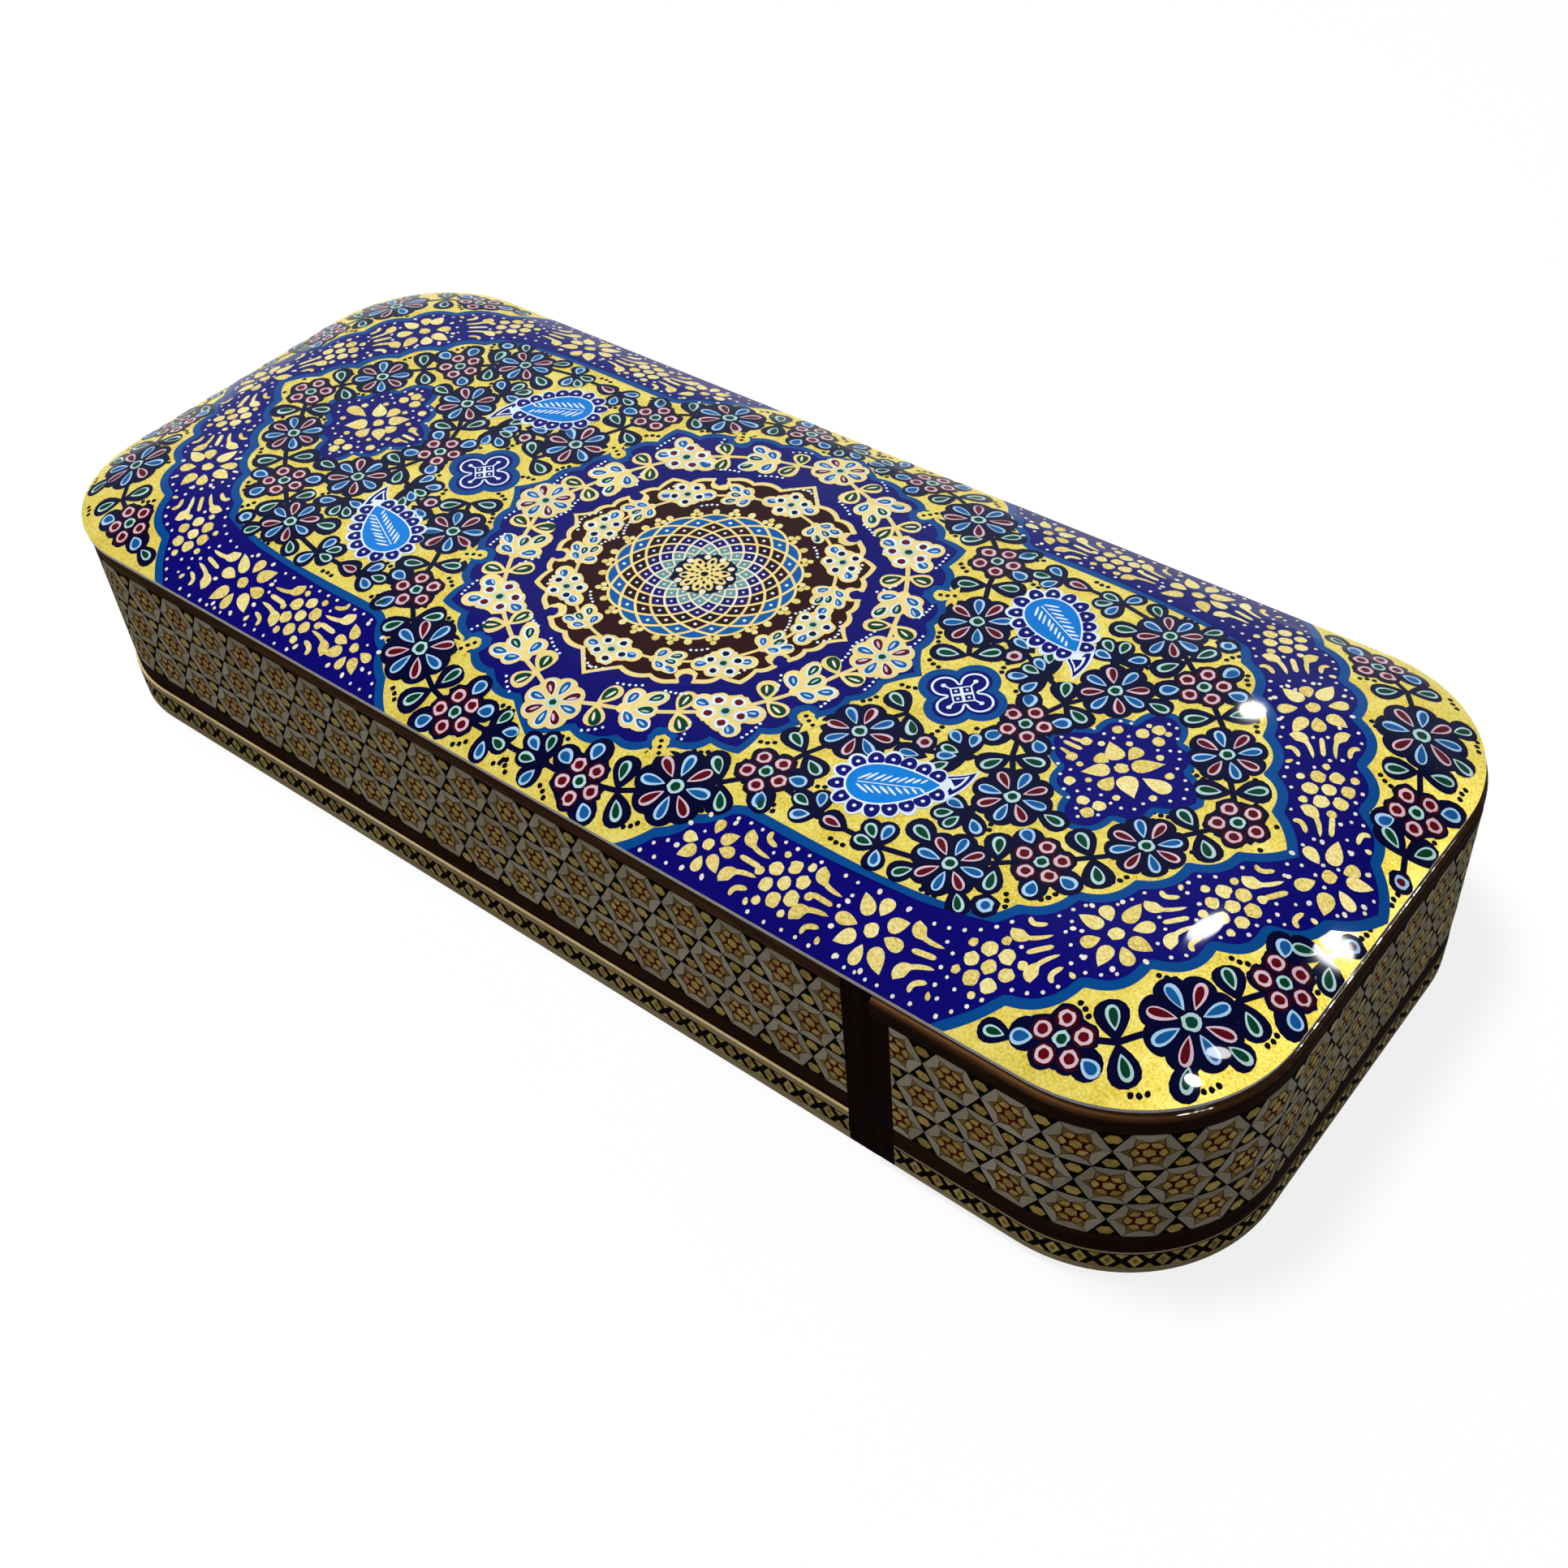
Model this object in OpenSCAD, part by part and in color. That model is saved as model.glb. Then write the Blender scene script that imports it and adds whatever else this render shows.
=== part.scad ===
// Sliding-drawer pen box (qalamdan): a khatam marquetry sleeve with a crowned, painted top.
// The rounded drawer head closes the right-hand end and draws out along +X.
// Origin: middle of the box on the table, +X towards the drawer head, +Z up. Millimetres.

/* [Painted top] */
// Length of the painted sheet
top_l = 270; // [240:1:320]
// Width of the painted sheet
top_w = 111.5; // [100:0.5:130]
// Plan radius of the corners, which is also the run of the rolled edge
corner_r = 28; // [22:0.5:34]
// Height of the crown above the table
crown_z = 49.3; // [47:0.1:56]
// Height of the sheet's upper edge above the table
edge_z = 43; // [41:0.1:45]
// Thickness of the painted sheet
sheet_t = 0.8; // [0.5:0.1:1.5]
// How far the top board's edge stands in from the sheet's edge
board_setback = 4; // [3.2:0.1:5]

/* [Case] */
// Height of the top board's underside
deck_z = 38.4; // [34:0.1:39.5]
// How far the walls stand in from the sheet's edge
case_setback = 0.5; // [0:0.1:1]
// Thickness of the marquetry and of the bands around it
veneer_t = 2; // [1:0.1:2.4]
// Thickness of the wooden core walls
core_t = 4; // [3:0.1:6]
// Thickness of the bottom board
floor_t = 4; // [3:0.1:6]
// Width of the dark posts beside the case's mouth
post_w = 5.8; // [3:0.1:10]
// How far the tail's marquetry runs on past its corners
tail_wrap = 3; // [1:0.5:10]

/* [Bands on the sides] */
// Height of the marquetry panels' lower edge
khatam_z = 11.8; // [9.5:0.1:16]
// Height of the plinth round the case
plinth_h = 7.4; // [6.6:0.1:9]
// How far the plinth stands proud of the walls
plinth_proud = 0.5; // [0.1:0.1:1.5]
// Height of the plinth's lower pale strip
plinth_strip_h = 2; // [1:0.1:2.4]
// Height of the plinth's marquetry border
plinth_border_h = 4; // [3:0.1:4.1]

/* [Drawer head] */
// Length of the drawer head, from the sheet's end to the seam
head_l = 55.6; // [42:0.2:80]
// How far the head stands proud of the sheet's edge
head_proud = 0.8; // [0:0.1:1.5]
// Height of the head's underside above the table
head_lift = 1.6; // [0.6:0.1:2.6]
// Open seam between the head and the case
seam_gap = 0.3; // [0.2:0.1:1]
// Width of the dark stiles at the head's edges
stile_w = 3.7; // [2:0.1:6]
// Height of the head's lower pale strip
head_strip_h = 1.4; // [0.8:0.1:1.6]
// Height of the head's marquetry border
head_border_h = 3.8; // [3:0.1:4]
// Height of the pale line above that border
head_line_h = 0.5; // [0.3:0.1:0.8]
// Gap between the rim's ledge and the sheet above it
rim_gap = 0.4; // [0.3:0.1:1]
// Radius of the rim's rounded ledge
rim_round = 1.5; // [0.5:0.1:2]

/* [Tray] */
// Side clearance of the tray in the case
slide_gap = 0.4; // [0.3:0.1:0.8]
// Clearance above and below the tray
run_gap = 0.3; // [0.3:0.1:0.8]
// Thickness of the tray's walls
tray_t = 3; // [2:0.1:4]
// Thickness of the tray's floor
tray_floor_t = 3; // [2:0.1:4]
// Thickness of the felt linings
lining_t = 1; // [0.5:0.1:2]
// Room left round the felt linings
lining_gap = 0.2; // [0.1:0.1:0.5]
// Length of the inkwell's compartment
ink_l = 56; // [40:1:90]
// Thickness of the divider
divider_t = 2.5; // [2:0.1:4]
// Height of the divider above the tray's floor
divider_h = 22; // [12:0.5:26]
// Depth of the divider's grooves in the tray's walls
groove_d = 1; // [0.5:0.1:1.5]

/* [Hidden] */
$fn = 96;

// Centres of the corner arcs
flat_x = top_l / 2 - corner_r;
flat_y = top_w / 2 - corner_r;

// The crown is a circular arc: level at its inner end, falling to the sheet's edge over the corner radius
crown_drop = crown_z - edge_z;
crown_rad = (corner_r * corner_r + crown_drop * crown_drop) / (2 * crown_drop);

// Radii from the corner centres, named from the outside inwards
head_face_r = corner_r + head_proud;
head_core_r = head_face_r - veneer_t;
case_face_r = corner_r - case_setback;
plinth_face_r = case_face_r + plinth_proud;
core_face_r = case_face_r - veneer_t;
core_back_r = core_face_r - core_t;
board_r = corner_r - board_setback;
tray_face_r = core_back_r - slide_gap;
tray_back_r = tray_face_r - tray_t;
groove_r = tray_back_r + groove_d;
lining_r = tray_back_r - lining_gap;
rim_back_r = board_r + slide_gap;

// Stations along the length
seam_x = top_l / 2 - head_l;
post_x = seam_x - post_w;
head_x = seam_x + seam_gap;
stile_x = head_x + stile_w;
tail_joint_x = tail_wrap - flat_x;
divider_x = flat_x + tray_back_r - ink_l - divider_t;

// Heights
tray_z = floor_t + run_gap;
tray_deck_z = tray_z + tray_floor_t;
tray_top_z = deck_z - run_gap;
rim_z = edge_z - sheet_t - rim_gap;
plinth_border_z = plinth_strip_h + plinth_border_h;
head_border_z = head_lift + head_strip_h;
head_line_z = head_border_z + head_border_h;
head_band_z = head_line_z + head_line_h;
above_all = 2 * crown_z;
beyond_all = top_l + top_w;

walnut = [0.24, 0.15, 0.09];
plain_wood = [0.62, 0.47, 0.30];
pale_wood = [0.78, 0.68, 0.48];
inlay = [0.66, 0.60, 0.46];
felt = [0.40, 0.06, 0.08];
paint = [0.14, 0.10, 0.55];

// Sweeps of a profile drawn as radius from the corner centre against height
module rear_run(from, to)
  translate([from, flat_y, 0]) rotate([90, 0, 90]) linear_extrude(to - from) children();

module front_run(from, to)
  mirror([0, 1, 0]) rear_run(from, to) children();

module head_turn() {
  for (side = [0, 1])
    mirror([0, side, 0]) translate([flat_x, flat_y, 0]) rotate_extrude(angle = 90) children();
  translate([flat_x, flat_y, 0]) rotate([90, 0, 0]) linear_extrude(2 * flat_y) children();
}

module tail_turn()
  mirror([1, 0, 0]) head_turn() children();

module both_runs(from, to) {
  front_run(from, to) children();
  rear_run(from, to) children();
}

// Plain band between two radii and two heights
module band(inner, outer, low, high)
  translate([inner, low]) square([outer - inner, high - low]);

// Band whose top meets the underside of the painted sheet
module band_to_sheet(inner, outer, low)
  intersection() {
    band(inner, outer, low, above_all);
    translate([0, crown_z - sheet_t - crown_rad]) circle(r = crown_rad, $fn = 180);
  }

// Rounded rectangle seen from above, out to a given radius at the corners
module plan(radius) {
  square([2 * (flat_x + radius), 2 * flat_y], center = true);
  square([2 * flat_x, 2 * (flat_y + radius)], center = true);
  for (side_x = [-1, 1], side_y = [-1, 1])
    translate([side_x * flat_x, side_y * flat_y]) circle(r = radius);
}

module plan_between(radius, from, to)
  intersection() {
    plan(radius);
    translate([from, -beyond_all / 2]) square([to - from, beyond_all]);
  }

// Painted top
module painted_sheet_profile()
  intersection() {
    square([corner_r, above_all]);
    difference() {
      translate([0, crown_z - crown_rad]) circle(r = crown_rad, $fn = 180);
      translate([0, crown_z - sheet_t - crown_rad]) circle(r = crown_rad, $fn = 180);
    }
  }

module painted_sheet()
  color(paint) {
    both_runs(-flat_x, flat_x) painted_sheet_profile();
    head_turn() painted_sheet_profile();
    tail_turn() painted_sheet_profile();
    translate([-flat_x, -flat_y, crown_z - sheet_t]) cube([2 * flat_x, 2 * flat_y, sheet_t]);
  }

module top_board()
  color(plain_wood) {
    both_runs(-flat_x, flat_x) band_to_sheet(0, board_r, deck_z);
    head_turn() band_to_sheet(0, board_r, deck_z);
    tail_turn() band_to_sheet(0, board_r, deck_z);
    translate([-flat_x, -flat_y, deck_z]) cube([2 * flat_x, 2 * flat_y, crown_z - sheet_t - deck_z]);
  }

// Case: a sleeve, rounded at the tail and open at the seam
module case_floor()
  color(plain_wood) linear_extrude(floor_t) plan_between(core_face_r, -beyond_all, seam_x);

module case_core()
  band(core_back_r, core_face_r, floor_t, deck_z);

module case_front_wall()
  color(plain_wood) front_run(-flat_x, seam_x) case_core();

module case_rear_wall()
  color(plain_wood) rear_run(-flat_x, seam_x) case_core();

module case_tail_wall()
  color(plain_wood) tail_turn() case_core();

// Each post covers the end of a wall and closes the upper band's end
module end_post_profile() {
  band(core_face_r, plinth_face_r, 0, deck_z);
  band_to_sheet(board_r, plinth_face_r, deck_z);
}

module front_end_post()
  color(walnut) front_run(post_x, seam_x) end_post_profile();

module rear_end_post()
  color(walnut) rear_run(post_x, seam_x) end_post_profile();

// Skins of the case: straight on the two sides, bent round the tail
module tail_skin() {
  tail_turn() children();
  both_runs(-flat_x, tail_joint_x) children();
}

module khatam_panel()
  band(core_face_r, case_face_r, khatam_z, deck_z);

module khatam_front()
  color(inlay) front_run(tail_joint_x, post_x) khatam_panel();

module khatam_rear()
  color(inlay) rear_run(tail_joint_x, post_x) khatam_panel();

module khatam_tail()
  color(inlay) tail_skin() khatam_panel();

module upper_band()
  band_to_sheet(board_r, case_face_r, deck_z);

module upper_band_front()
  color(walnut) front_run(tail_joint_x, post_x) upper_band();

module upper_band_rear()
  color(walnut) rear_run(tail_joint_x, post_x) upper_band();

module upper_band_tail()
  color(walnut) tail_skin() upper_band();

module lower_band()
  band(core_face_r, case_face_r, plinth_h, khatam_z);

module lower_band_front()
  color(walnut) front_run(tail_joint_x, post_x) lower_band();

module lower_band_rear()
  color(walnut) rear_run(tail_joint_x, post_x) lower_band();

module lower_band_tail()
  color(walnut) tail_skin() lower_band();

// Plinth: three strips that run right round the case to the posts
module plinth_layer(low, high) {
  tail_turn() band(core_face_r, plinth_face_r, low, high);
  both_runs(-flat_x, post_x) band(core_face_r, plinth_face_r, low, high);
}

module plinth_top_strip()
  color(pale_wood) plinth_layer(plinth_border_z, plinth_h);

module plinth_border()
  color(inlay) plinth_layer(plinth_strip_h, plinth_border_z);

module plinth_foot_strip()
  color(pale_wood) plinth_layer(0, plinth_strip_h);

// Tray: side boards lap into the head and butt against the rounded tail
module tray_wall()
  band(tray_back_r, tray_face_r, tray_z, tray_top_z);

module tray_floor()
  color(plain_wood) translate([0, 0, tray_z]) linear_extrude(tray_floor_t) plan(tray_back_r);

module tray_side_wall()
  difference() {
    rear_run(-flat_x, flat_x) tray_wall();
    translate([divider_x, flat_y, tray_deck_z]) cube([divider_t, groove_r, divider_h]);
  }

module tray_front_wall()
  color(plain_wood) mirror([0, 1, 0]) tray_side_wall();

module tray_rear_wall()
  color(plain_wood) tray_side_wall();

module tray_tail_wall()
  color(plain_wood) tail_turn() tray_wall();

module tray_divider()
  color(plain_wood) translate([divider_x, -flat_y - groove_r, tray_deck_z])
    cube([divider_t, 2 * (flat_y + groove_r), divider_h]);

module lining(from, to)
  color(felt) translate([0, 0, tray_deck_z]) linear_extrude(lining_t) plan_between(lining_r, from, to);

module pen_lining()
  lining(-beyond_all, divider_x - lining_gap);

module ink_lining()
  lining(divider_x + divider_t + lining_gap, beyond_all);

// Drawer head: a rounded core with its own skins, wider than the tray behind it
module head_core()
  color(plain_wood) {
    head_turn() band(tray_back_r, head_core_r, tray_z, tray_top_z);
    both_runs(head_x, flat_x) band(tray_face_r, head_core_r, tray_z, tray_top_z);
  }

module head_base()
  color(plain_wood) translate([0, 0, head_lift])
    linear_extrude(tray_z - head_lift) plan_between(head_core_r, head_x, beyond_all);

module head_skin(from) {
  head_turn() children();
  both_runs(from, flat_x) children();
}

module head_layer(low, high)
  head_skin(stile_x) band(head_core_r, head_face_r, low, high);

module head_khatam()
  color(inlay) head_layer(khatam_z, tray_top_z);

module head_lower_band()
  color(walnut) head_layer(head_band_z, khatam_z);

module head_top_line()
  color(pale_wood) head_layer(head_line_z, head_band_z);

module head_border()
  color(inlay) head_layer(head_border_z, head_line_z);

module head_foot_strip()
  color(pale_wood) head_layer(head_lift, head_border_z);

module head_stile()
  band(head_core_r, head_face_r, head_lift, tray_top_z);

module head_front_stile()
  color(walnut) front_run(head_x, stile_x) head_stile();

module head_rear_stile()
  color(walnut) rear_run(head_x, stile_x) head_stile();

// The rim stands outside the top board's edge, with a rounded ledge under the sheet
module head_rim_profile() {
  band(rim_back_r, head_face_r - rim_round, tray_top_z, rim_z);
  band(rim_back_r, head_face_r, tray_top_z, rim_z - rim_round);
  translate([head_face_r - rim_round, rim_z - rim_round]) circle(r = rim_round);
}

module head_rim()
  color(walnut) head_skin(head_x) head_rim_profile();

painted_sheet();
top_board();
case_floor();
case_front_wall();
case_rear_wall();
case_tail_wall();
front_end_post();
rear_end_post();
khatam_front();
khatam_rear();
khatam_tail();
upper_band_front();
upper_band_rear();
upper_band_tail();
lower_band_front();
lower_band_rear();
lower_band_tail();
plinth_top_strip();
plinth_border();
plinth_foot_strip();
tray_floor();
tray_front_wall();
tray_rear_wall();
tray_tail_wall();
tray_divider();
pen_lining();
ink_lining();
head_core();
head_base();
head_khatam();
head_rim();
head_lower_band();
head_top_line();
head_border();
head_foot_strip();
head_front_stile();
head_rear_stile();
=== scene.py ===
import math

import bpy
import numpy as np
from mathutils import Quaternion, Matrix, Vector


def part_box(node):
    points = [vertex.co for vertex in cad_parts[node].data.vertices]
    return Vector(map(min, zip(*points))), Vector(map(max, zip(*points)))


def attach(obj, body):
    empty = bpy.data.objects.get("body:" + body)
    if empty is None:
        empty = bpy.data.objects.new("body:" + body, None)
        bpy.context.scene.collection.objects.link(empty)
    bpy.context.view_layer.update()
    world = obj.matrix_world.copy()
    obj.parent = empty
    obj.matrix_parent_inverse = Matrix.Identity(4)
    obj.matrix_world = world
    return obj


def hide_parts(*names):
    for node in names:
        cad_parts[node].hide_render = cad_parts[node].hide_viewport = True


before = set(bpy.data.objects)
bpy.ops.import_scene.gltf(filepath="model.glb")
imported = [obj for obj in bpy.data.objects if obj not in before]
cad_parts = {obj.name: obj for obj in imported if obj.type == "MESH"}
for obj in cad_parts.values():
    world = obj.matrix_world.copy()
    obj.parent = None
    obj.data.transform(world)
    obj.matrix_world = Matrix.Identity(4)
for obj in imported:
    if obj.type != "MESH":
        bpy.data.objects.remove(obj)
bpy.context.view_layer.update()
mm = 0.001
rng = np.random.default_rng(1387)  # the hand's small unevenness, the same each run
print("frame loaded:", len(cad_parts), "nodes")


# Camera: place, aim and roll in millimetres and degrees
camera = {
    "place": (195.2, -196.2, 266.3), "aim": (42.9, -30.6, 45.0), "roll": -5.3, "lens": 44.08,
    "sensor": 36.0,
}


def makeCamera():
    # the level right vector turned about the line of sight by the roll
    place = Vector(camera["place"]) * mm
    ahead = (Vector(camera["aim"]) * mm - place).normalized()
    level = ahead.cross(Vector((0, 0, 1))).normalized()
    right = Matrix.Rotation(-math.radians(camera["roll"]), 3, ahead) @ level
    up = right.cross(ahead)
    data = bpy.data.cameras.new("camera")
    data.lens = camera["lens"]
    data.sensor_width = camera["sensor"]
    data.sensor_fit = "HORIZONTAL"
    data.clip_start = 0.01
    data.clip_end = 50
    seen = bpy.data.objects.new("camera", data)
    bpy.context.scene.collection.objects.link(seen)
    turn = Matrix((right, up, -ahead)).transposed().to_4x4()
    turn.translation = place
    seen.matrix_world = turn
    bpy.context.scene.camera = seen


makeCamera()
bpy.context.scene.view_settings.view_transform = "Standard"


# Finishes
class Wire:
    # one output socket of a node tree; sums and products of wires add Math nodes
    def __init__(self, tree, socket=None):
        self.tree = tree
        self.socket = socket

    def node(self, kind, settings, sockets, out=0):
        # any node: its settings first, then the value or link of each socket
        made = self.tree.nodes.new(kind)
        for key, value in settings.items():
            if key == "stops":
                ramp = made.color_ramp.elements
                while len(ramp) < len(value):
                    ramp.new(1.0)
                for stop, (spot, colour) in zip(ramp, value):
                    stop.position = spot
                    stop.color = colour
            else:
                setattr(made, key, value)
        for key, value in sockets.items():
            if isinstance(value, Wire):
                self.tree.links.new(value.socket, made.inputs[key])
            else:
                made.inputs[key].default_value = value
        return Wire(self.tree, made.outputs[out])

    def maths(self, operation, first, second):
        # one Math node on two values or wires
        return self.node("ShaderNodeMath", {"operation": operation}, {0: first, 1: second})

    def __add__(self, other):
        return self.maths("ADD", self, other)

    def __radd__(self, other):
        return self.maths("ADD", other, self)

    def __sub__(self, other):
        return self.maths("SUBTRACT", self, other)

    def __rsub__(self, other):
        return self.maths("SUBTRACT", other, self)

    def __mul__(self, other):
        return self.maths("MULTIPLY", self, other)

    def __rmul__(self, other):
        return self.maths("MULTIPLY", other, self)


def tint(red, green, blue, gain=1.0):
    # screen values 0 to 255 turned into linear light
    screen = np.array([red, green, blue]) / 255
    light = np.where(screen < 0.04045, screen / 12.92, ((screen + 0.055) / 1.055) ** 2.4)
    return (*np.clip(light * gain, 0, 1), 1.0)


def grey(level):
    # the same linear light in all three channels
    return (level, level, level, 1)


def objectPlace(wire, stretch=(1, 1, 1)):
    # object coordinates, stretched per axis
    place = wire.node("ShaderNodeTexCoord", {}, {}, "Object")
    return wire.node("ShaderNodeMapping", {}, {"Vector": place, "Scale": stretch})


def cloud(wire, place, scale, detail=3.0, rough=0.55, twist=0.0):
    # fractal noise between 0 and 1
    sockets = {"Vector": place, "Scale": scale, "Detail": detail, "Roughness": rough, "Distortion": twist}
    return wire.node("ShaderNodeTexNoise", {}, sockets, "Fac")


def ramp(wire, amount, stops):
    # a colour read from an amount between 0 and 1
    return wire.node("ShaderNodeValToRGB", {"stops": stops}, {"Fac": amount}, "Color")


def between(wire, share, first, second):
    # a colour between two others
    return wire.node("ShaderNodeMix", {"data_type": "RGBA"}, {0: share, 6: first, 7: second}, 2)


def tone(wire):
    # each dab's or tile's own value between 0 and 1
    return wire.node("ShaderNodeAttribute", {"attribute_name": "tone"}, {}, "Fac")


def makeFinish(name, recipe, fixed):
    # fixed numbers sit on the shader's sockets, the recipe feeds the ones that vary
    finish = bpy.data.materials.new(name)
    finish.use_nodes = True
    shader = finish.node_tree.nodes["Principled BSDF"]
    for key, value in fixed.items():
        shader.inputs[key].default_value = value
    fed = recipe(Wire(finish.node_tree))
    if "height" in fed:
        height, depth = fed.pop("height")
        bump = {"Height": height, "Distance": depth, "Strength": 1.0}
        fed["Normal"] = Wire(finish.node_tree).node("ShaderNodeBump", {}, bump, "Normal")
    for key, wire in fed.items():
        finish.node_tree.links.new(wire.socket, shader.inputs[key])
    return finish


# clear gloss over everything; what lies under it has little shine of its own
lacquer = {"Coat Weight": 0.5, "Coat Roughness": 0.03, "Coat IOR": 1.5, "Specular IOR Level": 0.0}
sideLacquer = {"Coat Weight": 0.015, "Coat Roughness": 0.1, "Coat IOR": 1.5, "Specular IOR Level": 0.0}


def paintRecipe(colour, spread=0.16):
    # a brushed colour: thicker and thinner by cloud, and by each dab's own tone
    def recipe(wire):
        place = objectPlace(wire)
        thick = cloud(wire, place, 900, 4)
        share = thick * 0.6 + tone(wire) * 0.4
        base = between(wire, share, tint(*colour, 1 - spread), tint(*colour, 1 + spread))
        return {"Base Color": base, "Roughness": thick * 0.2 + 0.38}
    return recipe


def goldRecipe(wire):
    # gold powder in varnish: fine grains, darker specks and slow changes of thickness
    place = objectPlace(wire)
    grain = cloud(wire, place, 2300, 5, 0.75)
    slow = cloud(wire, place, 190, 3)
    share = grain * 0.75 + slow * 0.25
    dark, mid = tint(180, 138, 28), tint(228, 199, 68)
    light, spark = tint(250, 231, 112), tint(255, 250, 180)
    base = ramp(wire, share, [(0.3, dark), (0.42, mid), (0.54, light), (0.72, spark)])
    fed = {"Base Color": base, "Roughness": 0.62 - grain * 0.25, "Metallic": grain * 0.35 + 0.05}
    return {**fed, "height": (grain, 0.00004)}


def goldDropRecipe(wire):
    # thick gold paint of the drops, paler and less granular than the ground
    place = objectPlace(wire)
    grain = cloud(wire, place, 2000, 4, 0.7)
    share = grain * 0.85 + tone(wire) * 0.15
    stops = [(0.3, tint(200, 164, 68)), (0.46, tint(236, 214, 118)), (0.64, tint(252, 240, 176))]
    base = ramp(wire, share, stops)
    return {"Base Color": base, "Roughness": 0.58 - grain * 0.2, "Metallic": grain * 0.25}


def woodRecipe(dark, mid, light, stretch, pores=0.35):
    # long streaks with fine pores, both drawn out along the grain
    def recipe(wire):
        place = objectPlace(wire, stretch)
        streak = cloud(wire, place, 1.0, 4, 0.6, 0.6)
        fine = cloud(wire, place, 4.5, 3, 0.6)
        figure = streak * (1 - pores) + fine * pores
        base = ramp(wire, figure, [(0.3, tint(*dark)), (0.5, tint(*mid)), (0.72, tint(*light))])
        return {"Base Color": base, "Roughness": 0.5 - fine * 0.15, "height": (figure, 0.00006)}
    return recipe


def rimRecipe(wire):
    # walnut, painted paler where its upper edge rounds over (a painted highlight standing in for light from
    # above), and glossier there
    fed = woodRecipe((30, 15, 8), (52, 29, 15), (76, 47, 26), aroundZ)(wire)
    up = wire.node("ShaderNodeSeparateXYZ", {}, {"Vector": objectPlace(wire)}, "Z")
    litEdgeFrom = 0.0408  # height in metres above which the rim's edge is painted paler as if lit, and glossier
    # a band along the upper edge: it carries the painted highlight and the heavier coat
    litAndGlossyEdge = ramp(wire, (up - litEdgeFrom) * 1000, [(0.0, grey(0)), (0.5, grey(0.2)), (1.0, grey(1))])
    sparks = ramp(wire, cloud(wire, objectPlace(wire), 760, 2), [(0.5, grey(0.08)), (0.6, grey(1))])
    # painted highlight: a paler walnut mixed in along the upper edge, where light from above would fall
    base = between(wire, litAndGlossyEdge, fed["Base Color"], tint(142, 98, 56))
    return {**fed, "Base Color": base, "Coat Weight": litAndGlossyEdge * sparks * 1.5 + 0.02}


def tileRecipe(dark, light, grain, metal=0.0):
    # sawn rods: each has its own shade, with fine marks of the file
    def recipe(wire):
        place = objectPlace(wire)
        fine = cloud(wire, place, grain, 3, 0.6)
        share = tone(wire) * 0.6 + fine * 0.4
        base = between(wire, share, tint(*dark), tint(*light))
        fed = {"Base Color": base, "Roughness": 0.55 - fine * 0.2}
        if metal:
            fed["Metallic"] = fine * metal
        return fed
    return recipe


def feltRecipe(wire):
    # pressed wool: matted fibres with paler fuzz on top
    place = objectPlace(wire)
    mat = cloud(wire, place, 1500, 6, 0.7, 1.5)
    slow = cloud(wire, place, 60, 2)
    share = mat * 0.75 + slow * 0.25
    base = ramp(wire, share, [(0.3, tint(66, 8, 14)), (0.55, tint(104, 16, 24)), (0.75, tint(138, 36, 40))])
    return {"Base Color": base, "Roughness": mat * 0.1 + 0.88, "height": (mat, 0.00025)}


paints = {
    "ultramarine": (12, 8, 106), "skyBlue": (7, 70, 136), "navy": (6, 7, 44), "maroon": (44, 9, 5),
    "cream": (238, 214, 136), "white": (220, 234, 250), "pale": (168, 204, 232),
    "petalBlue": (22, 88, 150), "petalRed": (88, 12, 22), "mint": (178, 212, 208), "green": (9, 62, 42),
    "berryRed": (94, 10, 20), "berryDark": (58, 6, 14), "plum": (26, 6, 26), "pink": (216, 186, 196),
    "botehBlue": (14, 122, 208), "black": (10, 9, 22), "purple": (28, 10, 92), "teal": (104, 150, 146),
    "latticeBlue": (6, 88, 160), "ivory": (236, 226, 200), "indigo": (16, 12, 104),
}
alongX, aroundZ, upright = (14, 220, 320), (32, 32, 720), (640, 640, 26)
woods = {  # material, then dark, middle and light tone, and the stretch of the grain
    "walnut": ("walnut_bands", (54, 31, 15), (98, 64, 37), (146, 104, 66), aroundZ),
    "walnutDark": ("walnut_lower_bands", (30, 14, 6), (52, 28, 14), (76, 46, 25), aroundZ),
    "walnutPost": ("walnut_posts", (15, 5, 2), (29, 12, 6), (48, 25, 13), upright),
    "paleWood": ("pale_strips", (170, 146, 98), (208, 184, 132), (234, 216, 170), aroundZ),
}
rods = {  # material, then dark and light tone, fineness of the marks and share of metal
    "glue": ("dark_ground", (14, 8, 5), (30, 18, 11), 900),
    "bone": ("khatam_bone", (182, 169, 136), (228, 217, 186), 420),
    "brass": ("khatam_brass", (128, 102, 40), (190, 164, 84), 800, 0.5),
    "ebony": ("khatam_ebony", (6, 5, 4), (14, 11, 9), 900),
    "olive": ("khatam_olive_rods", (104, 82, 36), (150, 126, 66), 800, 0.3),
    "redWood": ("khatam_red_wood", (84, 20, 13), (128, 40, 24), 800),
}
rimLacquer = {"Coat Roughness": 0.05, "Coat IOR": 1.5, "Specular IOR Level": 0.0}
plainGloss = {"Coat Weight": 0.15, "Coat Roughness": 0.35, "Specular IOR Level": 0.3}
feltSheen = {"Sheen Weight": 0.6, "Sheen Roughness": 0.5, "Specular IOR Level": 0.1}
plainTones = (120, 82, 48), (160, 116, 72), (190, 148, 100)
finishes = {}
for name, colour in paints.items():
    finishes[name] = makeFinish("paint_" + name, paintRecipe(colour), lacquer)
for name, (material, *look) in woods.items():
    finishes[name] = makeFinish(material, woodRecipe(*look), sideLacquer)
for name, (material, *look) in rods.items():
    finishes[name] = makeFinish(material, tileRecipe(*look), sideLacquer)
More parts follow.
